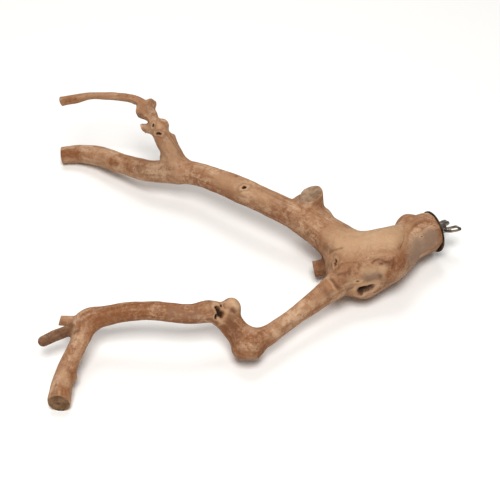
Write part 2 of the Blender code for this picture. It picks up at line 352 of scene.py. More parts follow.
@dataclass(frozen=True)
class SandblastedWood:
    """Bare, sandblasted wood: tan, streaked along the grain, stained red in places, with painted shade and
    painted highlight.
    """

    pale: tuple = linear(190, 155, 124)
    tan: tuple = linear(163, 124, 94)
    warm: tuple = linear(149, 105, 73)
    # the streak colour, also used as painted shade along cracks and round knot holes
    streak: tuple = linear(113, 74, 50)
    stain: tuple = linear(125, 77, 46)
    # painted shade: in crotches, hollows, knot holes, cracks and on undersides
    painted_shade: tuple = linear(90, 59, 40)
    grey: tuple = linear(140, 115, 96)
    # the pale of knot rims and pale marks, also the painted highlight of the wide pale patches on top
    rim: tuple = linear(194, 158, 122)
    # painted shade at the bottom of the knot holes
    pit: tuple = linear(39, 23, 15)
    fibres: Triple = (924.0, 924.0, 88.0)
    streaks: Triple = (210.0, 210.0, 22.0)
    bands: Triple = (90.0, 90.0, 16.0)
    blotches: float = 38.0
    mottles: float = 130.0
    flecks: float = 290.0
    specks: float = 620.0
    whorls: Triple = (30.0, 30.0, 42.0)
    lines_per_whorl: float = 95.0
    relief: float = 0.00034

    def noises(self, graph: Graph) -> dict[str, Value]:
        """Make the noises that the finish is worked out from.

        Args:
            graph: The material's graph.

        Returns:
            The noises by name.
        """
        grain = graph.attribute_vector("grain")
        place = graph.object_place()
        noise = {
            "fibre": graph.noise(grain, self.fibres, 4, 0.6),
            "streak": graph.noise(grain, self.streaks, 4, 0.6, 0.5),
            "band": graph.noise(grain, self.bands, 3, 0.55, 0.8, (3.1, 0.7, 5.0)),
            "blotch": graph.noise(place, self.blotches, 4, 0.6, 0.4, (0.4, 2.0, 1.0)),
            "mottle": graph.noise(place, self.mottles, 5, 0.65, 0.5),
            "fleck": graph.noise(place, self.flecks, 4, 0.65, 0.8, (1.5, 3.0, 0.2)),
            "speck": graph.noise(place, self.specks, 2, 0.6),
        }
        whorl = graph.noise(place, self.whorls, 3, 0.55, 1.4)
        figure = ((whorl * self.lines_per_whorl).sine() * 0.5 + 0.5).step(0.35, 1.0)
        noise["figure"] = figure * noise["fleck"].step(0.35, 0.6)
        return noise

    def bare(self, graph: Graph, noise: dict[str, Value]) -> Value:
        """Colour the bare wood.

        Args:
            graph: The material's graph.
            noise: The noises by name.

        Returns:
            The colour.
        """
        mottle, fleck = noise["mottle"], noise["fleck"]
        colour = graph.mix(noise["blotch"].step(0.38, 0.6), self.pale, self.tan)
        colour = graph.mix(noise["band"].step(0.44, 0.66) * 0.75, colour, self.warm)
        colour = graph.mix(mottle.step(0.48, 0.62) * 0.7, colour, self.warm)
        colour = graph.mix(mottle.step(0.46, 0.32) * 0.45, colour, self.pale)
        colour = graph.mix(fleck.step(0.52, 0.68) * 0.5, colour, self.streak)
        colour = graph.mix(noise["streak"].step(0.52, 0.7) * 0.55, colour, self.streak)
        colour = graph.mix(noise["figure"] * graph.attribute("burl") * 0.5, colour, self.streak)
        return graph.mix(noise["fibre"].step(0.56, 0.8) * 0.2, colour, self.streak)

    def stained(self, graph: Graph, noise: dict[str, Value], colour: Value) -> Value:
        """Lay the stains, the painted highlight and the painted shade over the bare wood, with frayed
        edges.

        Args:
            graph: The material's graph.
            noise: The noises by name.
            colour: The bare wood's colour.

        Returns:
            The colour.
        """
        streak, fleck = noise["streak"], noise["fleck"]
        fray = (noise["mottle"] - 0.5) * 1.6 + (fleck - 0.5) * 1.5 + (streak - 0.5) * 0.6

        def cover(stain: Stain, gain: Number, tear: Number, low: Number, high: Number) -> Value:
            """Return how much of a stain shows."""
            layer = graph.attribute(stain.value)
            return (layer * gain + fray * tear).step(low, high) * layer.step(0.0, 0.3)

        through = streak.step(0.4, 0.6) * 0.35 + fleck.step(0.36, 0.58) * 0.3 + 0.35
        colour = graph.mix(cover(Stain.RED, 1.2, 0.8, 0.0, 1.2) * through, colour, self.stain)
        colour = graph.mix(cover(Stain.GREY, 1.5, 0.5, 0.3, 0.9) * 0.8, colour, self.grey)
        # pale marks, partly painted highlight along the lit tops
        colour = graph.mix(cover(Stain.PALE_AND_PAINTED_HIGHLIGHT, 1.3, 1.0, 0.1, 1.3) * 0.7, colour, self.rim)
        # painted shade in crotches, hollows and on undersides
        return graph.mix(cover(Stain.PAINTED_SHADE, 1.2, 0.3, 0.0, 1.2) * 0.9, colour, self.painted_shade)

    def material(self) -> bpy.types.Material:
        """Build the material of the grown surface.

        Returns:
            The material.
        """
        material, graph = new_material("sandblasted_wood")
        noise = self.noises(graph)
        mottle, fleck, speck = noise["mottle"], noise["fleck"], noise["speck"]
        colour = self.stained(graph, noise, self.bare(graph, noise))

        # how dark the painted shade inside each knot hole is
        dark = graph.attribute("dark")
        hole = graph.attribute("hole") + (mottle - 0.5) * 0.9 + (fleck - 0.5) * 0.5
        crack = graph.attribute("crack") + (speck - 0.5) * 0.7 + (mottle - 0.5) * 0.9
        rim = hole.step(0.7, 1.2) * hole.step(2.1, 1.2)
        colour = graph.mix(rim * 0.32, colour, self.rim)
        # painted shade: a darker ring round each knot hole
        shade = hole.step(3.0, 1.8) * hole.step(1.2, 2.0)
        colour = graph.mix(shade * (dark * 0.3 + 0.15), colour, self.streak)
        # painted shade inside the knot holes, darkest at the bottom
        colour = graph.mix(hole.step(1.0, 0.6) * (dark * 0.85 + 0.08), colour, self.painted_shade)
        colour = graph.mix(hole.step(0.85, 0.4) * dark, colour, self.pit)
        # painted shade along the cracks and creases
        colour = graph.mix(crack.step(2.2, 0.6) * 0.5, colour, self.streak)
        colour = graph.mix(crack.step(0.8, 0.2) * 0.65, colour, self.painted_shade)

        rough = 0.62 + noise["fibre"] * 0.14 + mottle * 0.12
        height = noise["fibre"] * 0.45 + noise["streak"] * 0.8 + mottle * 0.5 + speck * 0.12
        height = height - crack.step(0.9, 0.2) * 0.9 - noise["figure"] * 0.15
        finish_surface(graph, colour, rough, 0.0, height, self.relief, sheen=0.15)
        return material


@dataclass(frozen=True)
class SawnEnd:
    """End grain of a sawn cut: rings about the pith, rays and a dry, dusty face."""

    dark: tuple = linear(90, 64, 43)
    light: tuple = linear(138, 106, 76)
    pith: tuple = linear(60, 38, 24)
    weathered: tuple = linear(178, 152, 128)
    ring_width: float = 0.0014
    ring_wander: float = 0.0022
    rays: int = 17
    relief: float = 0.00018

    def material(self) -> bpy.types.Material:
        """Build the material of the sawn faces.

        Returns:
            The material.
        """
        material, graph = new_material("sawn_end_grain")
        grain = graph.attribute_vector("grain")
        place = graph.object_place()
        across = graph.axis(grain, "X")
        up = graph.axis(grain, "Y")
        wander = graph.noise(place, 160, 3, 0.6)
        radius = (across * across + up * up) ** 0.5 + (wander - 0.5) * self.ring_wander
        rings = (radius * (2 * math.pi / self.ring_width)).sine() * 0.5 + 0.5
        turn = up.turn_from(across)
        ray_noise = graph.noise(place, 420, 2, 0.5)
        rays = ((turn * self.rays + wander * 9).sine() * 0.5 + 0.5).step(0.86, 1.0) * ray_noise
        dust = graph.noise(place, 900, 3, 0.7)
        colour = graph.mix(wander.step(0.36, 0.66) * 0.85, self.light, self.dark)
        colour = graph.mix(rings.step(0.2, 0.9) * ray_noise.step(0.35, 0.6) * 0.35, colour, self.dark)
        colour = graph.mix(rays.step(0.2, 0.6) * 0.35, colour, self.pith)
        colour = graph.mix(radius.step(0.0022, 0.0010) * 0.35, colour, self.pith)
        dry = graph.attribute(Stain.GREY.value) * (wander.step(0.62, 0.4) * 0.5 + dust * 0.5 + 0.2)
        colour = graph.mix(dry, colour, self.weathered)
        height = rings * 0.5 + dust * 0.6 - rays * 0.6
        finish_surface(graph, colour, 0.78 + dust * 0.1, 0.0, height, self.relief, sheen=0.15)
        return material


@dataclass(frozen=True)
class PlatedSteel:
    """Zinc-plated steel, slightly dull, with darker clouds and fine darker scratches."""

    name: str
    bright: tuple = linear(176, 172, 166)
    dull: tuple = linear(116, 110, 103)
    smooth: float = 0.30
    rough: float = 0.52
    relief: float = 0.00004

    def material(self) -> bpy.types.Material:
        """Build the material.

        Returns:
            The material.
        """
        material, graph = new_material(self.name)
        place = graph.object_place()
        cloud = graph.noise(place, 260, 4, 0.6)
        scratch = graph.noise(place, (500, 4200, 4200), 2, 0.5, 0.2)
        grit = graph.noise(place, 2600, 2, 0.5)
        colour = graph.mix(cloud.step(0.35, 0.7), self.bright, self.dull)
        colour = graph.mix(scratch.step(0.58, 0.75) * 0.4, colour, self.dull)
        rough = self.smooth + cloud.step(0.3, 0.75) * (self.rough - self.smooth) + scratch * 0.08
        height = scratch * 0.5 + grit * 0.5 + cloud * 0.4
        finish_surface(graph, colour, rough, 1.0, height, self.relief)
        return material


@dataclass(frozen=True)
class PaleFloor:
    """A plain, matt, pale studio floor."""

    colour: tuple = linear(246, 245, 243)
    rough: float = 0.9

    def material(self) -> bpy.types.Material:
        """Build the material.

        Returns:
            The material.
        """
        material, graph = new_material("pale_floor")
        sockets = {"Base Color": self.colour, "Roughness": self.rough}
        graph.finish(graph.node("ShaderNodeBsdfPrincipled", {}, sockets))
        return material


def add_bands(faces: list, first: int, rows: int, sides: int, closed: bool = False) -> None:
    """Add the bands of faces between rings of vertices.

    Args:
        faces: The faces so far, which grow.
        first: The first ring's first vertex.
        rows: The number of rings.
        sides: The vertices of each ring.
        closed: Whether the last ring is joined to the first.
    """
    for row in range(rows if closed else rows - 1):
        near = first + row * sides
        far = first + (row + 1) % rows * sides
        for side in range(sides):
            after = (side + 1) % sides
            faces.append((near + side, near + after, far + after, far + side))


@dataclass
class Limb:
    """A limb that follows stations of (x, y, z, radius), in millimetres from the layout's origin."""

    name: str
    stations: Sequence[Station]
    blend: float = 6.0
    flutes: float = 0.035
    phase: float = 0.0
    start: float = 0.0
    spacing: float = 2.5

    def lay_out(self, origin: Points) -> None:
        """Work out the centre line, the radii and a frame that doesn't twist.

        Args:
            origin: The layout's origin, in metres.
        """
        knots = np.array(self.stations, dtype=float)
        knots[:, :3] = knots[:, :3] * MM + origin
        knots[:, 3] *= MM
        chords = np.linalg.norm(np.diff(knots[:, :3], axis=0), axis=1)
        at = np.concatenate([[0.0], np.cumsum(chords)])
        slopes = np.gradient(knots, at, axis=0, edge_order=1)
        count = max(3, int(round(at[-1] / (self.spacing * MM))))
        wanted = np.linspace(0, at[-1], count)
        span = np.clip(np.searchsorted(at, wanted, side="right") - 1, 0, len(at) - 2)
        width = (at[span + 1] - at[span])[:, None]
        share = ((wanted - at[span])[:, None]) / width
        curve = (
            (2 * share**3 - 3 * share**2 + 1) * knots[span]
            + (share**3 - 2 * share**2 + share) * width * slopes[span]
            + (-2 * share**3 + 3 * share**2) * knots[span + 1]
            + (share**3 - share**2) * width * slopes[span + 1]
        )
        self.centres = curve[:, :3]
        self.radii = curve[:, 3]
        steps = np.diff(self.centres, axis=0)
        self.lengths = np.linalg.norm(steps, axis=1)
        self.at = self.start * MM + np.concatenate([[0.0], np.cumsum(self.lengths)])
        tangents = unit(np.vstack([steps[:1], steps[:-1] + steps[1:], steps[-1:]]))
        side = np.cross(tangents[0], (0.0, 0.0, 1.0))
        sides = []
        for tangent in tangents:
            side = side - tangent * side.dot(tangent)
            side = side / np.linalg.norm(side)
            sides.append(side)
        self.tangents = tangents
        self.sides = np.array(sides)
        self.ups = np.cross(self.tangents, self.sides)
        reach = self.radii.max() + 2 * self.blend * MM
        self.low = self.centres.min(axis=0) - reach
        self.high = self.centres.max(axis=0) + reach

    def near(self, points: Points) -> Points:
        """Return which points lie in the limb's reach."""
        return np.all((points > self.low) & (points < self.high), axis=1)

    def measure(self, points: Points) -> tuple[Points, Points, Points]:
        """Measure points against the limb.

        Args:
            points: The places, one row each.

        Returns:
            The distance outside the limb's skin, the direction away from the centre line, and the grain's
            coordinates: two across the limb and one along it.
        """
        starts = self.centres[:-1]
        steps = np.diff(self.centres, axis=0)
        squared = (steps * steps).sum(axis=1)
        along = points @ steps.T - (starts * steps).sum(axis=1)
        share = np.clip(along / squared, 0.0, 1.0)
        gap = (points**2).sum(axis=1)[:, None] - 2 * points @ starts.T + (starts**2).sum(axis=1)
        gap = gap - 2 * share * along + share * share * squared
        radius = self.radii[:-1] + share * np.diff(self.radii)
        skin = np.sqrt(np.maximum(gap, 0.0)) - radius
        best = skin.argmin(axis=1)
        rows = np.arange(len(points))
        part = share[rows, best][:, None]
        foot = starts[best] + part * steps[best]
        away = points - foot
        distance = np.linalg.norm(away, axis=1)
        side = self.sides[best] * (1 - part) + self.sides[best + 1] * part
        up = self.ups[best] * (1 - part) + self.ups[best + 1] * part
        across = (away * side).sum(axis=1)
        above = (away * up).sum(axis=1)
        place = self.at[best] + part[:, 0] * self.lengths[best]
        place = place + (away * self.tangents[best]).sum(axis=1)
        turn = np.arctan2(above, across)
        swell = 0.5 * np.sin(2 * turn + self.phase + 9 * place)
        swell = swell + 0.3 * np.sin(3 * turn - 2 * self.phase - 17 * place)
        swell = swell + 0.22 * np.sin(5 * turn + 3 * self.phase + 23 * place)
        skin = distance - radius[rows, best] * (1 + self.flutes * swell)
        return skin, away / np.maximum(distance, 1e-9)[:, None], np.stack([across, above, place], axis=1)

    def rough_tube(self, sides: int = 18, cap_rows: int = 4) -> tuple[list, list]:
        """Make a closed tube with round ends around the centre line.

        Args:
            sides: The corners of each ring.
            cap_rows: The rings of each round end.

        Returns:
            The vertices and the faces.
        """
        turns = np.linspace(0, 2 * math.pi, sides, endpoint=False)
        rows = []
        for step in range(cap_rows, 0, -1):
            angle = 0.47 * math.pi * step / cap_rows
            rows.append((0, -math.sin(angle), math.cos(angle)))
        rows += [(index, 0.0, 1.0) for index in range(len(self.centres))]
        rows += [(len(self.centres) - 1, -push, shrink) for _, push, shrink in reversed(rows[:cap_rows])]
        verts: list = []
        for index, push, shrink in rows:
            radius = self.radii[index]
            middle = self.centres[index] + self.tangents[index] * push * radius
            ring = np.cos(turns)[:, None] * self.sides[index] + np.sin(turns)[:, None] * self.ups[index]
            verts.extend((middle + ring * radius * shrink).tolist())
        faces: list = []
        add_bands(faces, 0, len(rows), sides)
        faces.append(tuple(range(sides - 1, -1, -1)))
        last = (len(rows) - 1) * sides
        faces.append(tuple(range(last, last + sides)))
        return verts, faces


@dataclass(frozen=True)
class Swelling:
    """A rounded lump, in millimetres from the layout's origin."""

    centre: Triple
    radii: Triple
    blend: float = 5.0


@dataclass(frozen=True)
class Facet:
    """A flat that a blade or a saw left, with its reach, in millimetres from the layout's origin."""

    centre: Triple
    facing: Triple
    reach: float


@dataclass(frozen=True)
class Cut:
    """A sawn end with a slightly broken rim."""

    name: str
    centre: Triple
    facing: Triple
    reach: float
    rim: float = 0.5


@dataclass(frozen=True)
class Knot:
    """A knot hole with a raised rim. The hole is long along one direction and narrower across it."""

    centre: Triple
    along: Triple
    length: float
    width: float
    depth: float
    rim: float
    # how dark the painted shade in the hole is
    dark: float = 1.0
    plug: float = 0.0
    ragged: float = 1.0


@dataclass(frozen=True)
class Crack:
    """A crack, a crease or, with a depth below zero, a ridge along a line of points in millimetres."""

    points: Sequence[Triple]
    width: float
    depth: float
    # how wide the painted shade along it spreads; 0 paints none
    drawn: float = 0.0


@dataclass(frozen=True)
class Patch:
    """A soft-edged stain along a line of points, in millimetres from the layout's origin."""

    path: Sequence[Triple]
    width: float
    strength: float = 1.0


def path_distance(points: Points, path: Points) -> Points:
    """Measure points against a line of points.

    Args:
        points: The places, one row each.
        path: The line's points, one row each.

    Returns:
        How far each place is from the line.
    """
    if len(path) == 1:
        return np.linalg.norm(points - path[0], axis=1)
    best = np.full(len(points), FAR_AWAY)
    for start, end in zip(path[:-1], path[1:]):
        step = end - start
        share = np.clip((points - start) @ step / step.dot(step), 0.0, 1.0)
        best = np.minimum(best, np.linalg.norm(points - start - share[:, None] * step, axis=1))
    return best


@dataclass
class Branch:
    """The grown wood: limbs and swellings flow into one skin, which is then cut, knotted and cracked.

    Everything is given in millimetres from the layout's origin, as in the CAD part.
    """

    origin: Triple
    limbs: Sequence[Limb]
    swellings: Sequence[Swelling]
    facets: Sequence[Facet]
    cuts: Sequence[Cut]
    knots: Sequence[Knot]
    cracks: Sequence[Crack]
    stains: dict[Stain, Sequence[Patch]]
    finish: SandblastedWood
    end_finish: SawnEnd
    nodes: Sequence[str]
    name: str = "wood"
    voxel: float = 1.06
    lumps: float = 0.55
    rounds: int = 5
    offcut: int = 9000
    offcut_reach: float = 50.0
    snap: float = 0.33
    margin: float = 0.02
    crack_reach: float = 8.0
    stain_wander: float = 2.2
    burl_centre: Triple = (-72, -12, 4)
    burl_radii: Triple = (46, 42, 42)

    def __post_init__(self) -> None:
        """Lay the limbs out in metres."""
        self.base = np.array(self.origin)
        for limb in self.limbs:
            limb.lay_out(self.base)

    def place(self, point: Sequence[float]) -> Points:
        """Return a point of the layout in metres."""
        return np.asarray(point, dtype=float) * MM + self.base

    def skin(self, points: Points) -> tuple[Points, Points]:
        """Measure points against the joined skin.

        Args:
            points: The places, one row each.

        Returns:
            The distance outside the skin and the direction that leads away from it.
        """
        total = np.full(len(points), 1.0)
        away = np.zeros((len(points), 3))
        away[:, 2] = 1.0

        def join(rows: Points, distance: Points, direction: Points, blend: float) -> None:
            """Flow one more form into the skin."""
            share = np.clip(0.5 + 0.5 * (total[rows] - distance) / blend, 0.0, 1.0)
            total[rows] = total[rows] * (1 - share) + distance * share - blend * share * (1 - share)
            away[rows] = away[rows] * (1 - share)[:, None] + direction * share[:, None]

        for limb in self.limbs:
            rows = np.flatnonzero(limb.near(points))
            if len(rows):
                distance, direction, _ = limb.measure(points[rows])
                join(rows, distance, direction, limb.blend * MM)
        for lump in self.swellings:
            radii = np.array(lump.radii) * MM
            offset = points - self.place(lump.centre)
            rows = np.flatnonzero(np.all(np.abs(offset) < radii + 2.5 * lump.blend * MM, axis=1))
            if len(rows):
                near = offset[rows]
                scaled = np.linalg.norm(near / radii, axis=1)
                steep = np.maximum(np.linalg.norm(near / radii**2, axis=1), 1e-6)
                join(rows, scaled * (scaled - 1) / steep, unit(near / radii**2), lump.blend * MM)
        return total, unit(away)

    def rough_form(self) -> bpy.types.Object:
        """Return overlapping tubes and balls, welded into one even skin."""
        verts: list = []
        faces: list = []
        for limb in self.limbs:
            more, sides = limb.rough_tube()
            LOG.debug("limb %s: %d corners", limb.name, len(more))
            faces.extend(tuple(index + len(verts) for index in side) for side in sides)
            verts.extend(more)
        for lump in self.swellings:
            ball = bmesh.new()
            bmesh.ops.create_icosphere(ball, subdivisions=3, radius=1.0)
            ball.verts.ensure_lookup_table()
            centre = self.place(lump.centre)
            faces.extend(tuple(vert.index + len(verts) for vert in face.verts) for face in ball.faces)
            verts.extend((centre + np.array(vert.co) * lump.radii * MM).tolist() for vert in ball.verts)
            ball.free()
        mesh = bpy.data.meshes.new(self.name)
        mesh.from_pydata(verts, [], faces)
        made = new_object(self.name, mesh)
        weld = made.modifiers.new("weld", "REMESH")
        weld.mode = "VOXEL"
        weld.voxel_size = self.voxel * MM
        weld.adaptivity = 0.0
        settle = made.modifiers.new("settle", "SMOOTH")
        settle.factor = 0.5
        settle.iterations = 4
        return bake(made)

    def grain_at(self, points: Points) -> Points:
        """Work out the grain's coordinates.

        Args:
            points: The places, one row each.

        Returns:
            Two coordinates across the wood and one along it, in metres.
        """
        total = np.zeros((len(points), 3))
        weight = np.full(len(points), 1e-12)
        for limb in self.limbs:
            rows = np.flatnonzero(limb.near(points))
            if len(rows):
                distance, _, grain = limb.measure(points[rows])
                pull = np.exp(-np.clip(distance, -0.03, 0.03) / (1.1 * MM))
                total[rows] += grain * pull[:, None]
                weight[rows] += pull
        grain = total / weight[:, None]
        swirl = self.burl_share(points)
        for column, (seed, reach) in enumerate(((3.1, 9.0), (11.7, 9.0), (23.9, 26.0))):
            grain[:, column] += noise_at(points, 34.0, seed) * reach * MM * (0.12 + 0.88 * swirl)
        return grain

    def burl_share(self, points: Points) -> Points:
        """Measure how far into the burl points lie.

        Args:
            points: The places, one row each.

        Returns:
            1 in the burl and 0 out on the limbs.
        """
        offset = (points - self.place(self.burl_centre)) / (np.array(self.burl_radii) * MM)
        return smooth_step(1.15, 0.7, np.linalg.norm(offset, axis=1))

    def hole_at(self, points: Points, away: Points) -> tuple[Points, Points, Points]:
        """Measure points against the knots.

        Args:
            points: The places, one row each.
            away: The directions out of the skin.

        Returns:
            The distance from the nearest knot, in its radii, how far its pit and rim move the skin, and
            how dark the painted shade in its hole is.
        """
        nearest = np.full(len(points), FAR_AWAY)
        move = np.zeros(len(points))
        dark = np.zeros(len(points))
        for knot in self.knots:
            offset = points - self.place(knot.centre)
            reach = 3.2 * max(knot.length, knot.width) * MM
            rows = np.flatnonzero((offset**2).sum(axis=1) < reach * reach)
            if not len(rows):
                continue
            near = offset[rows]
            facing = unit(away[rows][(near**2).sum(axis=1).argmin()])
            along = np.array(knot.along, dtype=float)
            along = unit(along - facing * along.dot(facing))
            across = np.cross(facing, along)
            first = near @ along / (knot.length * MM)
            second = near @ across / (knot.width * MM)
            turn = np.arctan2(second, first)
            ragged = 0.12 * np.sin(2 * turn + knot.length) + 0.05 * np.sin(3 * turn + 2 * knot.width)
            torn = 0.09 * max(knot.ragged - 1.0, 0.0) * np.sin(5 * turn + knot.width)
            share = np.sqrt(first**2 + second**2) / (1 + ragged * knot.ragged + torn)
            share = share + 4.0 * (away[rows] @ facing < 0.1)
            dark[rows] = np.where(share < nearest[rows], knot.dark, dark[rows])
            nearest[rows] = np.minimum(nearest[rows], share)
            filled = knot.plug * (1 - smooth_step(0.2, 0.6, share))
            pit = (1 - smooth_step(0.45, 1.05, share)) * (1 - filled)
            rim = np.exp(-(((share - 1.3) / 0.32) ** 2))
            move[rows] += (rim * knot.rim - pit * knot.depth) * MM
        return nearest, move, dark

    def crack_at(self, points: Points) -> tuple[Points, Points]:
        """Measure points against the cracks.

        Args:
            points: The places, one row each.

        Returns:
            The distance to the nearest crack with painted shade, in its widths, and how far the cracks
            move the skin.
        """
        nearest = np.full(len(points), FAR_AWAY)
        move = np.zeros(len(points))
        for crack in self.cracks:
            line = np.array([self.place(point) for point in crack.points])
            low = line.min(axis=0) - self.crack_reach * MM
            high = line.max(axis=0) + self.crack_reach * MM
            rows = np.flatnonzero(np.all((points > low) & (points < high), axis=1))
            if not len(rows):
                continue
            best = path_distance(points[rows], line) / (crack.width * MM)
            if crack.drawn:
                nearest[rows] = np.minimum(nearest[rows], best / crack.drawn)
            move[rows] -= crack.depth * MM * np.exp(-(best**2))
        return nearest, move

    def sculpt(self, points: Points) -> Points:
        """Move a rough skin onto the joined form and carve its surface.

        Args:
            points: The rough skin's vertices.

        Returns:
            The carved vertices.
        """
        for _ in range(self.rounds):
            distance, away = self.skin(points)
            points = points - away * np.clip(distance, -2 * MM, 2 * MM)[:, None]
        _, away = self.skin(points)
        grain = self.grain_at(points)
        burl = self.burl_share(points)
        ripple = noise_at(grain, (150, 150, 14), 5.3) * 0.42 + noise_at(grain, (420, 420, 42), 1.7) * 0.16
        lump = noise_at(points, 46.0, 8.9) * self.lumps * (1 + 1.1 * burl)
        lump = lump + noise_at(points, 120.0, 2.2) * 0.3
        _, pits, _ = self.hole_at(points, away)
        _, grooves = self.crack_at(points)
        points = points + away * ((ripple + lump - 0.15) * MM + pits + grooves)[:, None]
        for facet in self.facets:
            facing = unit(np.array(facet.facing, dtype=float))
            offset = points - self.place(facet.centre)
            weight = smooth_step(1.0, 0.72, np.linalg.norm(offset, axis=1) / (facet.reach * MM))
            proud = offset @ facing
            soft = 0.5 * (proud + np.sqrt(proud**2 + (0.7 * MM) ** 2)) - 0.1 * MM
            points = points - facing * (weight * np.maximum(soft, 0.0))[:, None]
        return points

    def saw(self, mesh: bpy.types.Mesh) -> None:
        """Saw the ends off, close each with a flat face and break its rim.

        Args:
            mesh: The carved skin.
        """
        work = bmesh.new()
        work.from_mesh(mesh)
        for cut in self.cuts:
            centre = Vector(self.place(cut.centre))
            facing = Vector(cut.facing).normalized()
            reach = cut.reach * MM
            near = [face for face in work.faces if (face.calc_center_median() - centre).length < reach]
            parts = {vert for face in near for vert in face.verts}
            edges = {edge for face in near for edge in face.edges}
            bmesh.ops.bisect_plane(
                work, geom=[*parts, *edges, *near], dist=self.snap * MM, plane_co=centre, plane_no=facing,
                use_snap_center=True, clear_outer=True,
            )
            self.drop_offcut(work, centre, facing)
            rim = [
                edge for edge in work.edges
                if edge.is_boundary and (edge.verts[0].co - centre).length < reach * 1.2
            ]
            made = bmesh.ops.holes_fill(work, edges=rim, sides=0)["faces"]
            bmesh.ops.recalc_face_normals(work, faces=work.faces)
            width = min(cut.rim, 0.2 * reach / MM) * MM
            inset = bmesh.ops.inset_region(work, faces=made, thickness=width, use_even_offset=False)
            outer = {vert for face in inset["faces"] for vert in face.verts}
            outer -= {vert for face in made for vert in face.verts}
            for vert in outer:
                vert.co -= facing * width * 0.55
            LOG.debug("cut %s: %d corners on its rim", cut.name, len(outer))
            for face in made:
                face.material_index = 1
                face.smooth = False
        bmesh.ops.triangulate(work, faces=[face for face in work.faces if len(face.verts) > 4])
        work.to_mesh(mesh)
        work.free()

    def drop_offcut(self, work: bmesh.types.BMesh, centre: Vector, facing: Vector) -> None:
        """Remove what a cut left beyond its plane.

        Args:
            work: The mesh, just cut.
            centre: A point of the cut.
            facing: The direction that the cut faces.
        """
        seen: set = set()
        loose: list = []
        for seed in work.verts:
            offset = seed.co - centre
            if seed in seen or not seed.is_boundary or offset.dot(facing) < 0.5 * MM:
                continue
            if offset.length > self.offcut_reach * MM:
                continue
            waiting, piece = [seed], {seed}
            while waiting:
                for edge in waiting.pop().link_edges:
                    for vert in edge.verts:
                        if vert not in piece:
                            piece.add(vert)
                            waiting.append(vert)
            seen |= piece
            if len(piece) < self.offcut:
                loose.extend(piece)
        bmesh.ops.delete(work, geom=loose, context="VERTS")

    def build(self) -> bpy.types.Object:
        """Build the wood.

        Returns:
            The finished piece.
        """
        made = self.rough_form()
        mesh = made.data
        mesh.shade_smooth()
        points = self.sculpt(read_points(mesh))
        write_points(mesh, points)
        self.saw(mesh)
        low, high = wood_box(self.nodes)
        points = np.clip(read_points(mesh), low + self.margin * MM, high - self.margin * MM)
        write_points(mesh, points)
        _, away = self.skin(points)
        store(mesh, "grain", self.grain_at(points))
        hole, _, dark = self.hole_at(points, away)
        store(mesh, "hole", hole)
        store(mesh, "dark", dark)
        store(mesh, "burl", self.burl_share(points))
        store(mesh, "crack", self.crack_at(points)[0])
        for stain in Stain:
            store(mesh, stain.value, self.stain_at(points, stain))
        mesh.materials.append(self.finish.material())
        mesh.materials.append(self.end_finish.material())
        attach(made, BodyName.BRANCH.value)
        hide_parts(*self.nodes)
        return made

    def stain_at(self, points: Points, stain: Stain) -> Points:
        """Measure points against a stain's patches, whose outlines wander.

        Args:
            points: The places, one row each.
            stain: The stain.

        Returns:
            How strongly the patches cover each place, from 0 to 1.
        """
        cover = np.zeros(len(points))
        drift = np.stack([noise_at(points, 75.0, seed) for seed in (1.3, 7.7, 15.1)], axis=1)
        wander = points + self.stain_wander * MM * drift
        for patch in self.stains[stain]:
            path = np.array([self.place(point) for point in patch.path])
            away = path_distance(wander, path) / (patch.width * MM)
            cover = np.maximum(cover, np.clip(1.25 - 0.6 * away, 0.0, 1.0) * patch.strength)
        return cover


def new_object(name: str, mesh: bpy.types.Mesh) -> bpy.types.Object:
    """Put a mesh in the scene."""
    made = bpy.data.objects.new(name, mesh)
    bpy.context.scene.collection.objects.link(made)
    return made


def bake(made: bpy.types.Object) -> bpy.types.Object:
    """Turn an object's modifiers into a plain mesh.

    Args:
        made: The object.

    Returns:
        The same object, without modifiers.
    """
    graph = bpy.context.evaluated_depsgraph_get()
    mesh = bpy.data.meshes.new_from_object(made.evaluated_get(graph), depsgraph=graph)
    made.modifiers.clear()
    old = made.data
    made.data = mesh
    bpy.data.meshes.remove(old)
    mesh.name = made.name
    return made


def read_points(mesh: bpy.types.Mesh) -> Points:
    """Return a mesh's vertices, one row each."""
    flat = np.empty(len(mesh.vertices) * 3)
    mesh.vertices.foreach_get("co", flat)
    return flat.reshape(-1, 3)


def write_points(mesh: bpy.types.Mesh, points: Points) -> None:
    """Move a mesh's vertices."""
    mesh.vertices.foreach_set("co", points.ravel())
    mesh.update()


def store(mesh: bpy.types.Mesh, name: str, values: Points) -> None:
    """Keep a number or a vector on each vertex of a mesh.

    Args:
        mesh: The mesh.
        name: The attribute's name.
        values: One value or one row for each vertex.
    """
    kind, part = ("FLOAT_VECTOR", "vector") if values.ndim == 2 else ("FLOAT", "value")
    layer = mesh.attributes.new(name, kind, "POINT")
    layer.data.foreach_set(part, np.ascontiguousarray(values, dtype=np.float32).ravel())


def wood_box(nodes: Sequence[str]) -> tuple[Points, Points]:
    """Find the box round some CAD nodes.

    Args:
        nodes: The nodes' names.

    Returns:
        The box's lowest and highest corner.
    """
    corners = [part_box(node) for node in nodes]
    low = np.min([np.array(corner[0]) for corner in corners], axis=0)
    high = np.max([np.array(corner[1]) for corner in corners], axis=0)
    return low, high


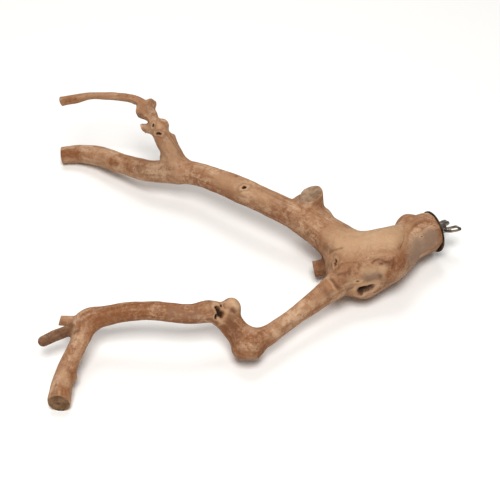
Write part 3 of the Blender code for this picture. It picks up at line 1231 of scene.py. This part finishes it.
@dataclass
class HangerBolt:
    """A bolt with a machine thread at one end and a pointed wood-screw thread at the other."""

    centre: Triple
    radius: float = 0.003175
    buried: float = 0.026
    out: float = 0.0134
    pitch: float = INCH / 20
    groove: float = 0.00055
    taper: float = 0.009
    chamfer: float = 0.0008
    sides: int = 40
    rows: int = 260
    name: str = "bolt"
    finish: PlatedSteel = field(default_factory=lambda: PlatedSteel("bolt_zinc"))

    def thread_tree(self) -> tuple[bpy.types.NodeTree, dict[str, Any]]:
        """Build the node group that turns a bar into a threaded bolt.

        Returns:
            The group and the value of each of its named inputs.
        """
        tree = bpy.data.node_groups.new("threaded_bar", "GeometryNodeTree")
        graph = Graph(tree)
        values = {
            "Radius": self.radius, "Length": self.buried + self.out, "Pitch": self.pitch,
            "Groove": self.groove, "Start": self.centre[0] - self.buried, "Middle": self.centre[1],
            "Height": self.centre[2],
        }
        tree.interface.new_socket("Geometry", in_out="OUTPUT", socket_type="NodeSocketGeometry")
        sockets = {}
        for name in values:
            sockets[name] = tree.interface.new_socket(name, in_out="INPUT", socket_type="NodeSocketFloat")
        material = tree.interface.new_socket("Material", in_out="INPUT", socket_type="NodeSocketMaterial")
        entry = tree.nodes.new("NodeGroupInput")
        given = {name: Value(graph, entry.outputs[name]) for name in values}
        length, radius = given["Length"], given["Radius"]
        bar = graph.node(
            "GeometryNodeMeshCylinder", {"fill_type": "NGON"},
            {"Vertices": self.sides, "Side Segments": self.rows, "Radius": radius, "Depth": length},
            "Mesh",
        )
        place = graph.node("GeometryNodeInputPosition", {}, {})
        x, y, z = (graph.axis(place, name) for name in "XYZ")
        along = z + length * 0.5
        turn = (along / given["Pitch"] - y.turn_from(x) / (2 * math.pi)).fraction()
        crest = (turn - 0.5).size() * 2
        tooth = graph.node(
            "ShaderNodeMapRange", {"interpolation_type": "LINEAR", "clamp": True},
            {0: crest, 1: 0.12, 2: 0.88, 3: 0.0, 4: 1.0},
        )
        point = (along / self.taper).clamped()
        tip = ((length - along) / self.chamfer).clamped()
        shrink = (point * 0.86 + 0.14) * (tip * 0.14 + 0.86) * (1 - tooth * given["Groove"] / radius)
        spot = {
            "X": along + given["Start"], "Y": x * shrink + given["Middle"],
            "Z": y * shrink + given["Height"],
        }
        moved = {"Geometry": bar, "Position": graph.node("ShaderNodeCombineXYZ", {}, spot)}
        shaped = graph.node("GeometryNodeSetPosition", {}, moved, "Geometry")
        real = graph.node("GeometryNodeRealizeInstances", {}, {"Geometry": shaped}, "Geometry")
        dressed = {"Geometry": real, "Material": Value(graph, entry.outputs["Material"])}
        skin = graph.node("GeometryNodeSetMaterial", {}, dressed, "Geometry")
        leave = tree.nodes.new("NodeGroupOutput")
        graph.link(skin, leave.inputs["Geometry"])
        named = {sockets[name].identifier: value for name, value in values.items()}
        named[material.identifier] = self.finish.material()
        return tree, named

    def build(self) -> bpy.types.Object:
        """Build the bolt.

        Returns:
            The finished piece.
        """
        made = new_object(self.name, bpy.data.meshes.new(self.name))
        tree, values = self.thread_tree()
        nodes = made.modifiers.new("thread", "NODES")
        nodes.node_group = tree
        for identifier, value in values.items():
            nodes[identifier] = value
        bake(made)
        face_outward(made.data)
        made.data.shade_smooth()
        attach(made, BodyName.BRANCH.value)
        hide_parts("hanger_bolt")
        return made


@dataclass
class WingNut:
    """A cast wing nut: a tapered hub with a bore, and two thick, rounded wings."""

    centre: Triple
    start: float = 0.0073
    length: float = 0.006
    base: float = 0.0051
    top: float = 0.0044
    bore: float = 0.0033
    thickness: float = 0.0040
    turn: float = -25.0
    edge: float = 0.0004
    top_edge: float = 0.0005
    voxel: float = 0.22
    outline: Sequence[tuple[float, float]] = (
        (2, 3.6), (5.5, 3.7), (9.5, 5.0), (14.9, 6.4), (14.9, 13.7), (11.4, 14.1), (6, 11.8), (2.1, 8.1),
    )
    layers: Sequence[tuple[float, float]] = (
        (-0.5, 0.74), (-0.4, 0.9), (-0.2, 1.0), (0.2, 1.0), (0.4, 0.9), (0.5, 0.74),
    )
    name: str = "wing_nut_casting"
    finish: PlatedSteel = field(
        default_factory=lambda: PlatedSteel(
            "wing_nut_zinc", bright=linear(160, 151, 140), dull=linear(88, 78, 68), smooth=0.26,
            rough=0.46,
        )
    )

    def hub(self, verts: list, faces: list, sides: int = 56) -> None:
        """Add the turned hub with its bore.

        Args:
            verts: The vertices so far, which grow.
            faces: The faces so far, which grow.
            sides: The corners of each ring.
        """
        length, edge, lip = self.length, self.edge, self.top_edge
        rows = (
            (0.0, self.bore + edge), (0.0, self.base - edge), (edge, self.base), (length - lip, self.top),
            (length, self.top - lip), (length, self.bore + edge), (length - edge, self.bore),
            (edge, self.bore),
        )
        first = len(verts)
        for along, radius in rows:
            for side in range(sides):
                angle = 2 * math.pi * side / sides
                verts.append((self.start + along, radius * math.cos(angle), radius * math.sin(angle)))
        add_bands(faces, first, len(rows), sides, closed=True)

    def wing(self, verts: list, faces: list, angle: float) -> None:
        """Add one wing, thickest along its middle.

        Args:
            verts: The vertices so far, which grow.
            faces: The faces so far, which grow.
            angle: How far the wing is turned about the bore, in radians.
        """
        outline = np.array(self.outline) * MM
        outline[:, 0] += self.start
        middle = outline.mean(axis=0)
        first = len(verts)
        turn = Matrix.Rotation(angle, 3, "X")
        for across, grow in self.layers:
            for along, out in middle + (outline - middle) * grow:
                verts.append(tuple(turn @ Vector((along, out, across * self.thickness))))
        count = len(outline)
        add_bands(faces, first, len(self.layers), count)
        faces.append(tuple(first + side for side in range(count - 1, -1, -1)))
        faces.append(tuple(first + (len(self.layers) - 1) * count + side for side in range(count)))

    def build(self) -> bpy.types.Object:
        """Build the wing nut.

        Returns:
            The finished piece.
        """
        verts: list = []
        faces: list = []
        self.hub(verts, faces)
        for half in (0.0, math.pi):
            self.wing(verts, faces, math.radians(self.turn) + half)
        mesh = bpy.data.meshes.new(self.name)
        mesh.from_pydata((np.array(verts) + self.centre).tolist(), [], faces)
        face_outward(mesh)
        made = new_object(self.name, mesh)
        cast = made.modifiers.new("cast", "REMESH")
        cast.mode = "VOXEL"
        cast.voxel_size = self.voxel * MM
        settle = made.modifiers.new("settle", "SMOOTH")
        settle.factor = 0.5
        settle.iterations = 7
        bake(made)
        low, high = (np.array(corner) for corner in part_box("wing_nut"))
        write_points(made.data, np.clip(read_points(made.data), low, high))
        made.data.shade_smooth()
        made.data.materials.append(self.finish.material())
        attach(made, BodyName.WING_NUT.value)
        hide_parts("wing_nut")
        return made


@dataclass(frozen=True)
class CarriedNodes:
    """CAD nodes that stay as they are and get a finish."""

    nodes: Sequence[str]
    finish: PlatedSteel

    def build(self) -> None:
        """Give the nodes their material."""
        material = self.finish.material()
        for node in self.nodes:
            carried = bpy.data.objects[node]
            if not carried.material_slots:
                carried.data.materials.append(material)
            for place in carried.material_slots:
                place.material = material


def face_outward(mesh: bpy.types.Mesh) -> None:
    """Turn all the faces of a closed mesh outward.

    Args:
        mesh: The mesh.
    """
    work = bmesh.new()
    work.from_mesh(mesh)
    bmesh.ops.recalc_face_normals(work, faces=work.faces)
    work.to_mesh(mesh)
    work.free()


@dataclass(frozen=True)
class Lamp:
    """A soft square lamp: where it hangs and its side in metres, its power in watts and its colour."""

    name: str
    place: Triple
    side: float
    power: float
    colour: Triple


@dataclass
class Studio:
    """A pale floor, soft light from above and the photograph's camera."""

    target: Triple = (0.0170, -0.0505, 0.0208)
    azimuth: float = -24.5
    elevation: float = 45.0
    distance: float = 1.0448
    lens: float = 85.0
    floor: PaleFloor = field(default_factory=PaleFloor)
    floor_reach: float = 3.0
    room_light: float = 0.20
    lamps: Sequence[Lamp] = (
        Lamp("key_lamp", (-0.30, -0.72, 1.60), 0.7, 27.0, (1.0, 0.99, 0.975)),
        Lamp("top_lamp", (0.20, 0.90, 1.8), 1.0, 16.0, (1.0, 0.99, 0.98)),
    )

    def lay_floor(self) -> None:
        """Add the floor."""
        reach = self.floor_reach
        corners = [(-reach, -reach, 0.0), (reach, -reach, 0.0), (reach, reach, 0.0), (-reach, reach, 0.0)]
        mesh = bpy.data.meshes.new("floor")
        mesh.from_pydata(corners, [], [(0, 1, 2, 3)])
        mesh.materials.append(self.floor.material())
        new_object("floor", mesh)

    def hang(self, lamp: Lamp) -> None:
        """Hang a lamp so that it points at the object.

        Args:
            lamp: The lamp.
        """
        light = bpy.data.lights.new(lamp.name, "AREA")
        light.size = lamp.side
        light.energy = lamp.power
        light.color = lamp.colour
        made = bpy.data.objects.new(lamp.name, light)
        made.location = lamp.place
        made.rotation_mode = "QUATERNION"
        made.rotation_quaternion = (Vector(self.target) - Vector(lamp.place)).to_track_quat("-Z", "Y")
        bpy.context.scene.collection.objects.link(made)

    def light(self) -> None:
        """Hang the lamps and add the even light of the room."""
        for lamp in self.lamps:
            self.hang(lamp)
        world = bpy.data.worlds.new("room")
        world.use_nodes = True
        back = world.node_tree.nodes["Background"]
        back.inputs["Color"].default_value = (1.0, 1.0, 1.0, 1.0)
        back.inputs["Strength"].default_value = self.room_light
        bpy.context.scene.world = world
        bpy.context.scene.view_settings.view_transform = "Standard"

    def add_camera(self) -> None:
        """Add the camera."""
        azimuth, elevation = math.radians(self.azimuth), math.radians(self.elevation)
        level = math.cos(elevation)
        back = Vector((math.sin(azimuth) * level, -math.cos(azimuth) * level, math.sin(elevation)))
        lens = bpy.data.cameras.new("camera")
        lens.lens = self.lens
        lens.sensor_width = 36.0
        lens.clip_start, lens.clip_end = 0.05, 20.0
        made = bpy.data.objects.new("camera", lens)
        made.location = Vector(self.target) + back * self.distance
        made.rotation_mode = "QUATERNION"
        made.rotation_quaternion = (-back).to_track_quat("-Z", "Y")
        bpy.context.scene.collection.objects.link(made)
        bpy.context.scene.camera = made

    def build(self) -> None:
        """Build the studio."""
        self.lay_floor()
        self.light()
        self.add_camera()


LAYOUT_ORIGIN: Triple = (0.1767, -0.1005, 0.0248)
BUTT_CENTRE: Triple = (0.1735, -0.1000, 0.0240)
WOOD_NODES = ("burl", "upper_limb", "far_limb", "knobbly_twig", "lower_limb", "leg", "prong")

BUTT = (
    (14, 2, 0, 17.2), (-3, 0, 0, 17.5), (-22, -3, 2.7, 18.0), (-36, -6, 3.2, 18.5), (-50, -10, 3, 22.3),
    (-71, -13, 4, 26), (-87, -10.5, 5, 22.5), (-95, -9, 5, 15),
)
UPPER = (
    (-88, -5, 7, 20.5), (-95, 24, 10, 16.4), (-104, 42, 13, 14.4), (-113, 57, 15, 12.3),
    (-128, 78, 17.5, 11.4), (-143, 102, 17.5, 11.6), (-156, 125, 15, 10.9), (-175, 155, 9, 11),
    (-184, 163, 7, 11.2), (-203, 179, 1.5, 10.6), (-221, 206, -5, 9.7), (-240, 237, -11, 9.6),
    (-253, 249, -14, 8.7), (-268, 256, -16, 8.5), (-278, 260, -17, 8.4),
)
TWIG = (
    (-182, 165, 8, 11.5), (-184, 172, 22, 9.9), (-187.5, 179.5, 32.5, 8.9), (-190, 185.5, 41, 7.9),
    (-192.2, 194, 49.5, 5.5), (-193.5, 200, 53.5, 6.2), (-197.5, 208.5, 58.5, 5.2),
    (-204, 214.5, 61.8, 4.3), (-215, 220, 64, 3.9), (-227, 227, 64, 3.6), (-240, 234, 63, 3.7),
    (-252, 239, 60, 4.5), (-270, 251, 53, 5.6),
)
LOWER = (
    (-92, -18, 4, 15), (-111, -25, 3, 11.9), (-140, -34, 1, 8.7), (-175, -44, -2, 8.1),
    (-190, -48, -3, 9), (-205, -48, -3.5, 11.2),
)
ARCH = (
    (-205, -48, -3.5, 11.2), (-210, -36, 0, 10.6), (-216, -26, 9, 10.4), (-222, -20, 13, 9.8),
    (-243, -15, 16, 8.3), (-272, 0, 18, 8.2), (-300, 13, 13, 8), (-320, 18, 7, 8.9), (-329, 9, 3, 7.6),
    (-344, -5, -4, 7.6), (-358, -21, -12, 8.4), (-364, -31, -15.4, 8.8), (-370, -42, -17.5, 8.8),
)
LIMBS = (
    Limb("butt", BUTT, blend=7, flutes=0.03, phase=0.4, start=-17),
    Limb("upper", UPPER, blend=9, flutes=0.045, phase=1.3, start=90),
    Limb("twig", TWIG, blend=7, flutes=0.06, phase=2.2, start=290),
    Limb("lower", LOWER, blend=8, flutes=0.05, phase=3.1, start=95),
    Limb("arch", ARCH, blend=6, flutes=0.05, phase=4.6, start=215),
    Limb(
        "prong",
        (
            (-318, 16, 7, 6), (-324, 17, 6, 5.4), (-338, 18, 5, 4.6), (-349, 19, 3, 4.7),
            (-359, 19, 1.4, 4.5),
        ),
        blend=5, flutes=0.06, phase=5.2, start=360,
    ),
    Limb(
        "side_stub", ((-318, 18, 7, 6), (-328, 24.5, 5.5, 4.6), (-340.5, 31.8, 5.2, 4.3)), blend=4,
        phase=0.9, start=360,
    ),
    Limb(
        "twig_stub_a", ((-193, 197, 52, 5), (-199, 201, 53, 5.2), (-202.4, 204.6, 53.8, 5)), blend=3,
        phase=0.2, start=340,
    ),
    Limb(
        "twig_stub_b", ((-191, 187, 42, 6), (-197, 190, 42.5, 5), (-203.2, 193.6, 42.8, 4.4)), blend=3,
        phase=2.6, start=320,
    ),
    Limb(
        "twig_spur", ((-185, 174, 22, 6), (-181.5, 176.5, 30, 4.6), (-179.8, 179, 35, 3.0)), blend=3,
        phase=1.6, start=300,
    ),
    Limb(
        "top_stub", ((-101, 50, 12, 11.5), (-97.5, 55.5, 24, 11), (-96.5, 57.5, 33.2, 10.4)), blend=5,
        phase=1.7, start=140,
    ),
    Limb(
        "back_stub", ((-90, 2, -8, 10), (-104, 7, -9.5, 8), (-122, 13, -11, 7.4)), blend=5, phase=2.9,
        start=95,
    ),
)
SWELLINGS = (
    Swelling((-82, -12, -2.5), (30, 25, 20), 7), Swelling((-66, -26, 8), (17, 14, 14), 6),
    Swelling((-44, 9, -12.6), (25, 14, 12), 6), Swelling((-24.8, 9.5, 9.5), (9.8, 8.5, 9), 5),
    Swelling((-100, 66, 16), (10, 9, 9), 5), Swelling((-91, 44, 14), (8, 9, 7.5), 6),
    Swelling((-208.5, -50.5, -7), (12, 11.5, 11), 6), Swelling((-208, -20, 12.5), (8, 9, 9), 5),
    Swelling((-88, -31, -3), (15, 11, 11), 6), Swelling((-189.5, 205.5, 57.5), (5.5, 5.5, 5.5), 2.5),
    Swelling((-186, 187.5, 45), (6.3, 6.5, 6.5), 2.2), Swelling((-193.5, 188, 47), (4.5, 5, 4.5), 2.0),
    Swelling((-190.5, 174, 18), (4.5, 4.5, 5), 3), Swelling((-318, 21, 9), (11, 9, 8), 4),
    Swelling((-334, 0.2, -3.9), (3, 3, 4), 3), Swelling((-346.6, -16.9, -11.3), (3, 3, 4), 3),
    Swelling((-10, 4.7, 3.9), (9, 12, 12), 4),
)
FACETS = (
    Facet((-209.5, -55.8, -13), (-0.29, -0.64, -0.71), 18),
    Facet((-85.7, -34.6, 12.3), (-0.12, -0.90, 0.35), 9),
    Facet((-14, -18, -6.5), (0.33, -0.87, -0.35), 34),
)
CUTS = (
    Cut("far_end", (-268, 256, -16), (-0.93, 0.36, -0.05), 14),
    Cut("twig_end", (-263, 247, 56), (-0.86, 0.4, -0.3), 10, 0.35),
    Cut("leg_foot", (-365, -33, -16), (-0.45, -0.88, 0.1), 14),
    Cut("top_stub", (-96.5, 57.5, 33.2), (-0.3, 0.12, 0.945), 15, 0.8),
    Cut("back_stub", (-116, 11, -10.5), (-0.93, 0.3, -0.15), 11),
    Cut("side_stub", (-340.5, 31.8, 5.2), (-0.83, 0.5, 0.25), 6, 0.3),
    Cut("twig_stub_a", (-202.4, 204.6, 53.8), (-0.68, 0.6, -0.42), 7, 0.3),
    Cut("twig_stub_b", (-203.2, 193.6, 42.8), (-0.8, 0.3, -0.52), 6.5, 0.3),
    Cut("twig_knob", (-187, 208, 60.5), (0.75, 0.45, 0.48), 6.5, 0.3),
    Cut("butt_face", (-3.3, 0.5, -0.8), (1, 0, 0), 26, 0.3),
)
KNOTS = (
    Knot((-143.9, 96.1, 25.2), (0.85, -0.1, 0.3), 2.8, 1.9, 1.9, 0.7, ragged=1.6),
    Knot((-221.6, -26.5, 19.6), (0.29, 0.64, 0.71), 6.0, 3.3, 4.2, 0.1, ragged=2.4),
    Knot((-217.8, -21.4, 22.1), (0.29, 0.64, 0.71), 2.2, 1.6, 1.6, 0.1, ragged=2.4),
    Knot((-222.8, -21.5, 19.6), (0.91, -0.42, 0.0), 2.2, 1.3, 1.4, 0.1, ragged=2.4),
    Knot((-226.1, -28, 17.5), (0.29, 0.64, 0.71), 2.0, 1.4, 1.5, 0.1, ragged=2.4),
    Knot((-107.5, -13.2, 15.8), (-0.4, 0.6, 0.5), 3.4, 2.2, 2.0, 0.7, dark=0.7, ragged=2.2),
    Knot((-91.9, -38.6, 2.3), (0.95, -0.25, 0.17), 11.0, 2.9, 3.0, 0.1, dark=0.7, ragged=1.0),
    Knot((-95.4, -37.8, 1.6), (0.95, -0.25, 0.17), 5.6, 3.9, 3.0, 0.1, dark=0.8, ragged=1.6),
    Knot((-195.6, 185.4, 49.3), (0.3, 0.6, 0.7), 1.9, 1.5, 2.2, 0.4, dark=0.8, ragged=1.9),
    Knot((-193, 178.8, 43.7), (0.9, -0.3, 0.2), 2.8, 1.9, 2.4, 0.4, dark=0.9, ragged=2.2),
    Knot((-98, -34.9, 10.2), (0.9, -0.4, 0.2), 2.4, 1.2, 0.6, 0.3, dark=0.5, ragged=2.0),
    Knot((-25.3, -15.6, 16.4), (0.9, -0.4, 0.0), 1.4, 1.0, 0.5, 0.2, dark=0.4, ragged=1.6),
)
CRACKS = (
    Crack(
        ((-20, 10, 19), (-34.5, 0.1, 20.4), (-45.5, -18.6, 23.2), (-53.2, -25.3, 22.8)), 1.7, 0.35, 0.2,
    ),
    Crack(((-13.1, -1.5, 19.4), (-23.8, -3.6, 20.2), (-36, -12, 21.5), (-43, -24, 20)), 1.6, 0.3, 0.2),
    Crack(((-9.9, -6.8, 17.9), (-20, -9, 18.6), (-31, -16, 18.5)), 1.4, 0.25, 0.2),
    Crack(((-95.2, -24.3, 22.5), (-104.4, -18.6, 19.9), (-108.5, -18.5, 15.5)), 1.5, 0.3, 0.25),
    Crack(
        ((-82.7, -30.5, 21.7), (-79.7, -29.4, 22.7), (-76.3, -29.7, 22.8), (-73.5, -31.3, 21.6)), 1.1,
        0.5, 0.8,
    ),
    Crack(((-73.5, -31.3, 21.6), (-72.1, -33.5, 20.6), (-68.2, -35.1, 20.1)), 1.2, 0.9, 1.3),
    Crack(
        ((-107.7, -0.2, 15.8), (-106, -1.5, 19.4), (-103.3, -4.1, 22.7), (-99.4, -6.8, 25.2)), 1.1, 0.5,
        0.6,
    ),
    Crack(((-111.7, -25.1, 15.4), (-106.7, -27.2, 16.1), (-102.2, -27.4, 17.5)), 1.2, 0.5, 0.9),
    Crack(((-119.2, -25.8, 13.6), (-117.9, -31.6, 12.5), (-116.5, -34.7, 10)), 1.4, 0.7, 1.0),
    Crack(
        ((-120.9, -22.8, 13.2), (-120.3, -28.8, 13.2), (-119.6, -32.9, 11.6), (-118.1, -35.2, 9.6)), 1.4,
        -0.35,
    ),
    Crack(((-76.8, -33.1, 20.7), (-74.3, -33.8, 20.5)), 1.2, 0.4, 0.9),
    Crack(((-63.5, -33.3, 22.3), (-64.8, -36.4, 19.7), (-67.6, -39, 16.1)), 1.2, 0.6, 0.9),
    Crack(((-209.4, -29.5, 17.3), (-210.2, -27.3, 19.1)), 1.2, 0.8, 1.2),
    Crack(((-334.6, 11.1, 8.5), (-330.3, 10.6, 10.7)), 1.2, 0.6, 1.0),
)
STAINS: dict[Stain, Sequence[Patch]] = {
    Stain.RED: (
        Patch(((-20, 10, 19), (-34.5, 0.1, 20.4), (-45.5, -18.6, 23.2)), 1.8, 0.55),
        Patch(((-13.1, -1.5, 19.4), (-23.8, -3.6, 20.2), (-36, -12, 21.5), (-43, -24, 20)), 1.6, 0.5),
        Patch(((-95.2, -24.3, 22.5), (-104.4, -18.6, 19.9), (-108.5, -18.5, 15.5)), 1.5, 0.5),
        Patch(((-314, 12, 13), (-290, 6, 20), (-265, -8, 23), (-245, -16, 20)), 12, 0.85),
        Patch(((-214, -40, 8), (-209, -50, 2), (-202, -54, 0)), 11, 0.95),
        Patch(((-328, 8, 9), (-345, -10, 0), (-352, -20, -5)), 6, 0.5),
        Patch(((-175, 140, 10), (-140, 82, 14), (-118, 45, 14)), 8, 0.65),
        Patch(((-5.9, -5.2, 17.3), (-6.7, -12.4, 14.2), (-8.4, -16, 10.7)), 6, 0.85),
        Patch(((-13.1, -1.5, 19.4), (-9.9, -6.8, 17.9), (-8.4, -11.6, 15.4)), 3.5, 0.75),
        Patch(
            (
                (-38.3, -9.7, 22.1), (-45.5, -18.6, 23.2), (-53.3, -25.5, 23), (-55.9, -32.2, 20.6),
                (-57.2, -37.1, 15.9),
            ),
            5, 0.8,
        ),
        Patch(((-65.3, -35, 21), (-67.2, -38.2, 17.5), (-72.3, -39.3, 13.5)), 2.6, 0.8),
        Patch(((-46.8, -25.7, 19.9), (-37.6, -22.7, 16.8), (-28.7, -18.9, 14)), 1.8, 0.6),
        Patch(((-113.1, 30, 17.1), (-109.3, 18.2, 15.1), (-106.8, 8.1, 17.1), (-106.1, 0.2, 19)), 4, 0.7),
        Patch(((-110.6, 51.7, 27.6), (-108.8, 41.6, 27.1)), 4, 0.45),
        Patch(((-113.3, 8.6, -2.9), (-113.1, 2.9, -7.6)), 6, 0.9),
        Patch(((-143.6, 85.3, 24),), 2.6, 0.6),
        Patch(((-101.6, 28, 25.2), (-100.2, 23.5, 25.2)), 2.2, 0.7),
        Patch(((-267.6, 251, -9), (-255.4, 241.7, -8.6)), 4, 0.95),
        Patch(((-232.1, 210.5, -1.4), (-227.6, 203.1, 0.2)), 2.6, 0.85),
        Patch(((-222.5, 194.5, 2.7), (-220.4, 187.2, 0.3)), 2.6, 0.75),
        Patch(((-259.4, 239.4, 59.9), (-252, 234.8, 62)), 2, 0.8),
        Patch(((-144.6, -43.8, -0.5),), 1.5),
        Patch(((-215.7, -49.3, 5.2), (-211.5, -55.9, 5.2)), 5.5, 0.65),
        Patch(((-198.9, -57.5, 3.2),), 1.6, 0.9),
        Patch(((-231.4, -26.8, 15.7), (-226.4, -29.5, 12.4)), 2.2, 0.8),
        Patch(
            ((-308.4, 10.4, 16.6), (-291.8, 5, 21.6), (-277.5, -3.2, 23.4), (-262.9, -10.6, 24.1)), 7.5,
            0.55,
        ),
        Patch(((-312.9, 10.4, 13.7), (-308.6, 9.9, 15.9)), 3.5, 0.8),
        Patch(((-283.9, 0.4, 22.7), (-276.5, -5, 22.2)), 3, 0.7),
        Patch(((-347.1, -13.2, -0.3), (-347.3, -19.4, -5.9)), 2.6, 0.65),
        Patch(((-363, -22.9, -5.3), (-358.7, -26.5, -5.2), (-354.5, -27.9, -7.8)), 1.7, 0.9),
        Patch(((-363.6, -28.5, -6.1), (-357.2, -30.9, -8)), 4, 0.45),
        Patch(((-358.8, 16.5, 4.6), (-341.1, 15.1, 7.4)), 5, 0.5),
    ),
    Stain.GREY: (
        Patch(((-36.1, -25.1, 11.9), (-25.1, -20.2, 11.4), (-16.5, -17.2, 12.6)), 8, 0.75),
        Patch(((-47.1, -31.9, 12.9), (-35.4, -26.4, 7.9)), 5, 0.45),
        Patch(((-88.4, -34.7, 11.2), (-80.3, -35.8, 11.2)), 3.6),
        Patch(((-258.2, -13.9, 22.9), (-239.2, -22.8, 20.7)), 6, 0.35),
        Patch(((-98.2, 61.3, 32.7),), 9, 0.9),
    ),
    # Pale marks: paler rings round knots and pale lines along ridges, and painted highlight in the wide
    # patches on top of the burl, the upper limb and the twig's base.
    Stain.PALE_AND_PAINTED_HIGHLIGHT: (
        Patch(((-144.3, 95, 25.4),), 3.8),
        Patch(((-93.6, -0.9, 27), (-74.3, -9.6, 29.3), (-51, -8.7, 26.3)), 14, 0.8),
        Patch(((-91.2, -31.9, 17.1), (-77.2, -36.2, 16.9)), 3, 0.8),
        Patch(((-101.5, -34.1, 10.2), (-95.7, -36, 9.4)), 3.4, 0.8),
        Patch(
            ((-120.7, -22.5, 12.8), (-120.3, -28.8, 13.2), (-119.6, -32.9, 11.6), (-118.1, -35.2, 9.6)),
            1.3, 0.95,
        ),
        Patch(((-208.1, -20.7, 21.3), (-206, -26.9, 18.1)), 3.6, 0.7),
        Patch(((-353.5, -17, -1.6), (-355.2, -23.6, -4.7)), 3.6, 0.6),
        Patch(((-334.3, 9.7, 8.6), (-330.6, 9.8, 10.4)), 1.3, 0.7),
        Patch(((-187.3, 167, 31.2), (-187.4, 162.7, 24.9)), 7, 0.4),
        Patch(((-158.2, 118.7, 25), (-132.9, 76.7, 27.1)), 8, 0.35),
        Patch(((-26, -15.4, 16.7),), 2.2, 0.8),
        Patch(((-191.5, 183.8, 49.7),), 2.5, 0.7),
        Patch(((-192.9, 169.4, 21.7),), 3, 0.8),
    ),
    # Painted shade: darker brown in crotches and hollows, on undersides and on the hidden back stub.
    Stain.PAINTED_SHADE: (
        Patch(((-104, 8, -8), (-116, 11, -9)), 10, 0.45),
        Patch(((-107.5, -13.2, 15.8),), 4, 0.4),
        Patch(((-106.8, 8.1, 17.1), (-106.1, 0.2, 19)), 3, 0.45),
        Patch(((-113.3, 8.6, -2.9), (-113.1, 2.9, -7.6)), 6, 0.55),
        Patch(((-214.9, 184.4, 6.7), (-206.9, 171.3, 8), (-193.5, 158.8, 13.2)), 6.5, 0.3),
        Patch(((-203.4, 198.4, 52.4),), 3.5, 0.65),
        Patch(((-200.8, 188.3, 46),), 3.5, 0.5),
        Patch(((-187.4, 205, 62.2), (-194.5, 195.1, 57.6)), 3, 0.45),
        Patch(((-146.3, 112.1, 28.4),), 1.6, 0.6),
        Patch(((-215.6, -35.5, 14.1), (-215.1, -44, 6.7)), 5.5, 0.45),
        Patch(((-212.1, -27.6, 19.1), (-210.3, -29.5, 17.7)), 1.6, 0.75),
        Patch(((-358.8, 16.5, 4.6), (-341.1, 15.1, 7.4)), 6, 0.8),
        Patch(((-335.8, 20.3, 9.3), (-335.1, 17.1, 9.9)), 2.4, 0.8),
        Patch(((-324.6, 14.8, 14.7),), 1.6, 0.6),
        Patch(((-78.3, -37.8, 11.7),), 1.5, 0.7),
        Patch(((-105.2, -34.2, 9.4), (-111.1, -22.8, 15.8)), 9, 0.3),
        Patch(((-194.9, 199, 59.6), (-191.8, 194.7, 57)), 5, 0.35),
        Patch(((-117.5, -31.7, 12.4), (-115.9, -34.5, 10.2)), 1.8, 0.6),
        Patch(((-130.8, -32.1, 11.3), (-125.1, -38, 7.1)), 3, 0.45),
    ),
}


# Zinc-plated steel darkened to a brown near-black: partly the washers' own colour, partly painted shade,
# as they sit in shade at the butt end.
WASHER_ZINC_PAINTED_SHADE = PlatedSteel(
    "washer_zinc_painted_shade", bright=linear(98, 84, 71), dull=linear(50, 40, 32), smooth=0.42, rough=0.6
)


def main() -> None:
    """Build the pieces in order."""
    logging.basicConfig(level=logging.INFO, format="%(message)s")
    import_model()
    studio = Studio()
    studio.build()
    pieces = (
        Branch(
            LAYOUT_ORIGIN, LIMBS, SWELLINGS, FACETS, CUTS, KNOTS, CRACKS, STAINS, SandblastedWood(),
            SawnEnd(), WOOD_NODES,
        ),
        HangerBolt(BUTT_CENTRE),
        WingNut(BUTT_CENTRE),
    )
    for piece in pieces:
        made = piece.build()
        LOG.info("%s: %d vertices, %d faces", made.name, len(made.data.vertices), len(made.data.polygons))
    washers = CarriedNodes(("fender_washer", "flat_washer"), WASHER_ZINC_PAINTED_SHADE)
    washers.build()
    LOG.info("washers: %s", ", ".join(washers.nodes))


if __name__ == "__main__":
    main()
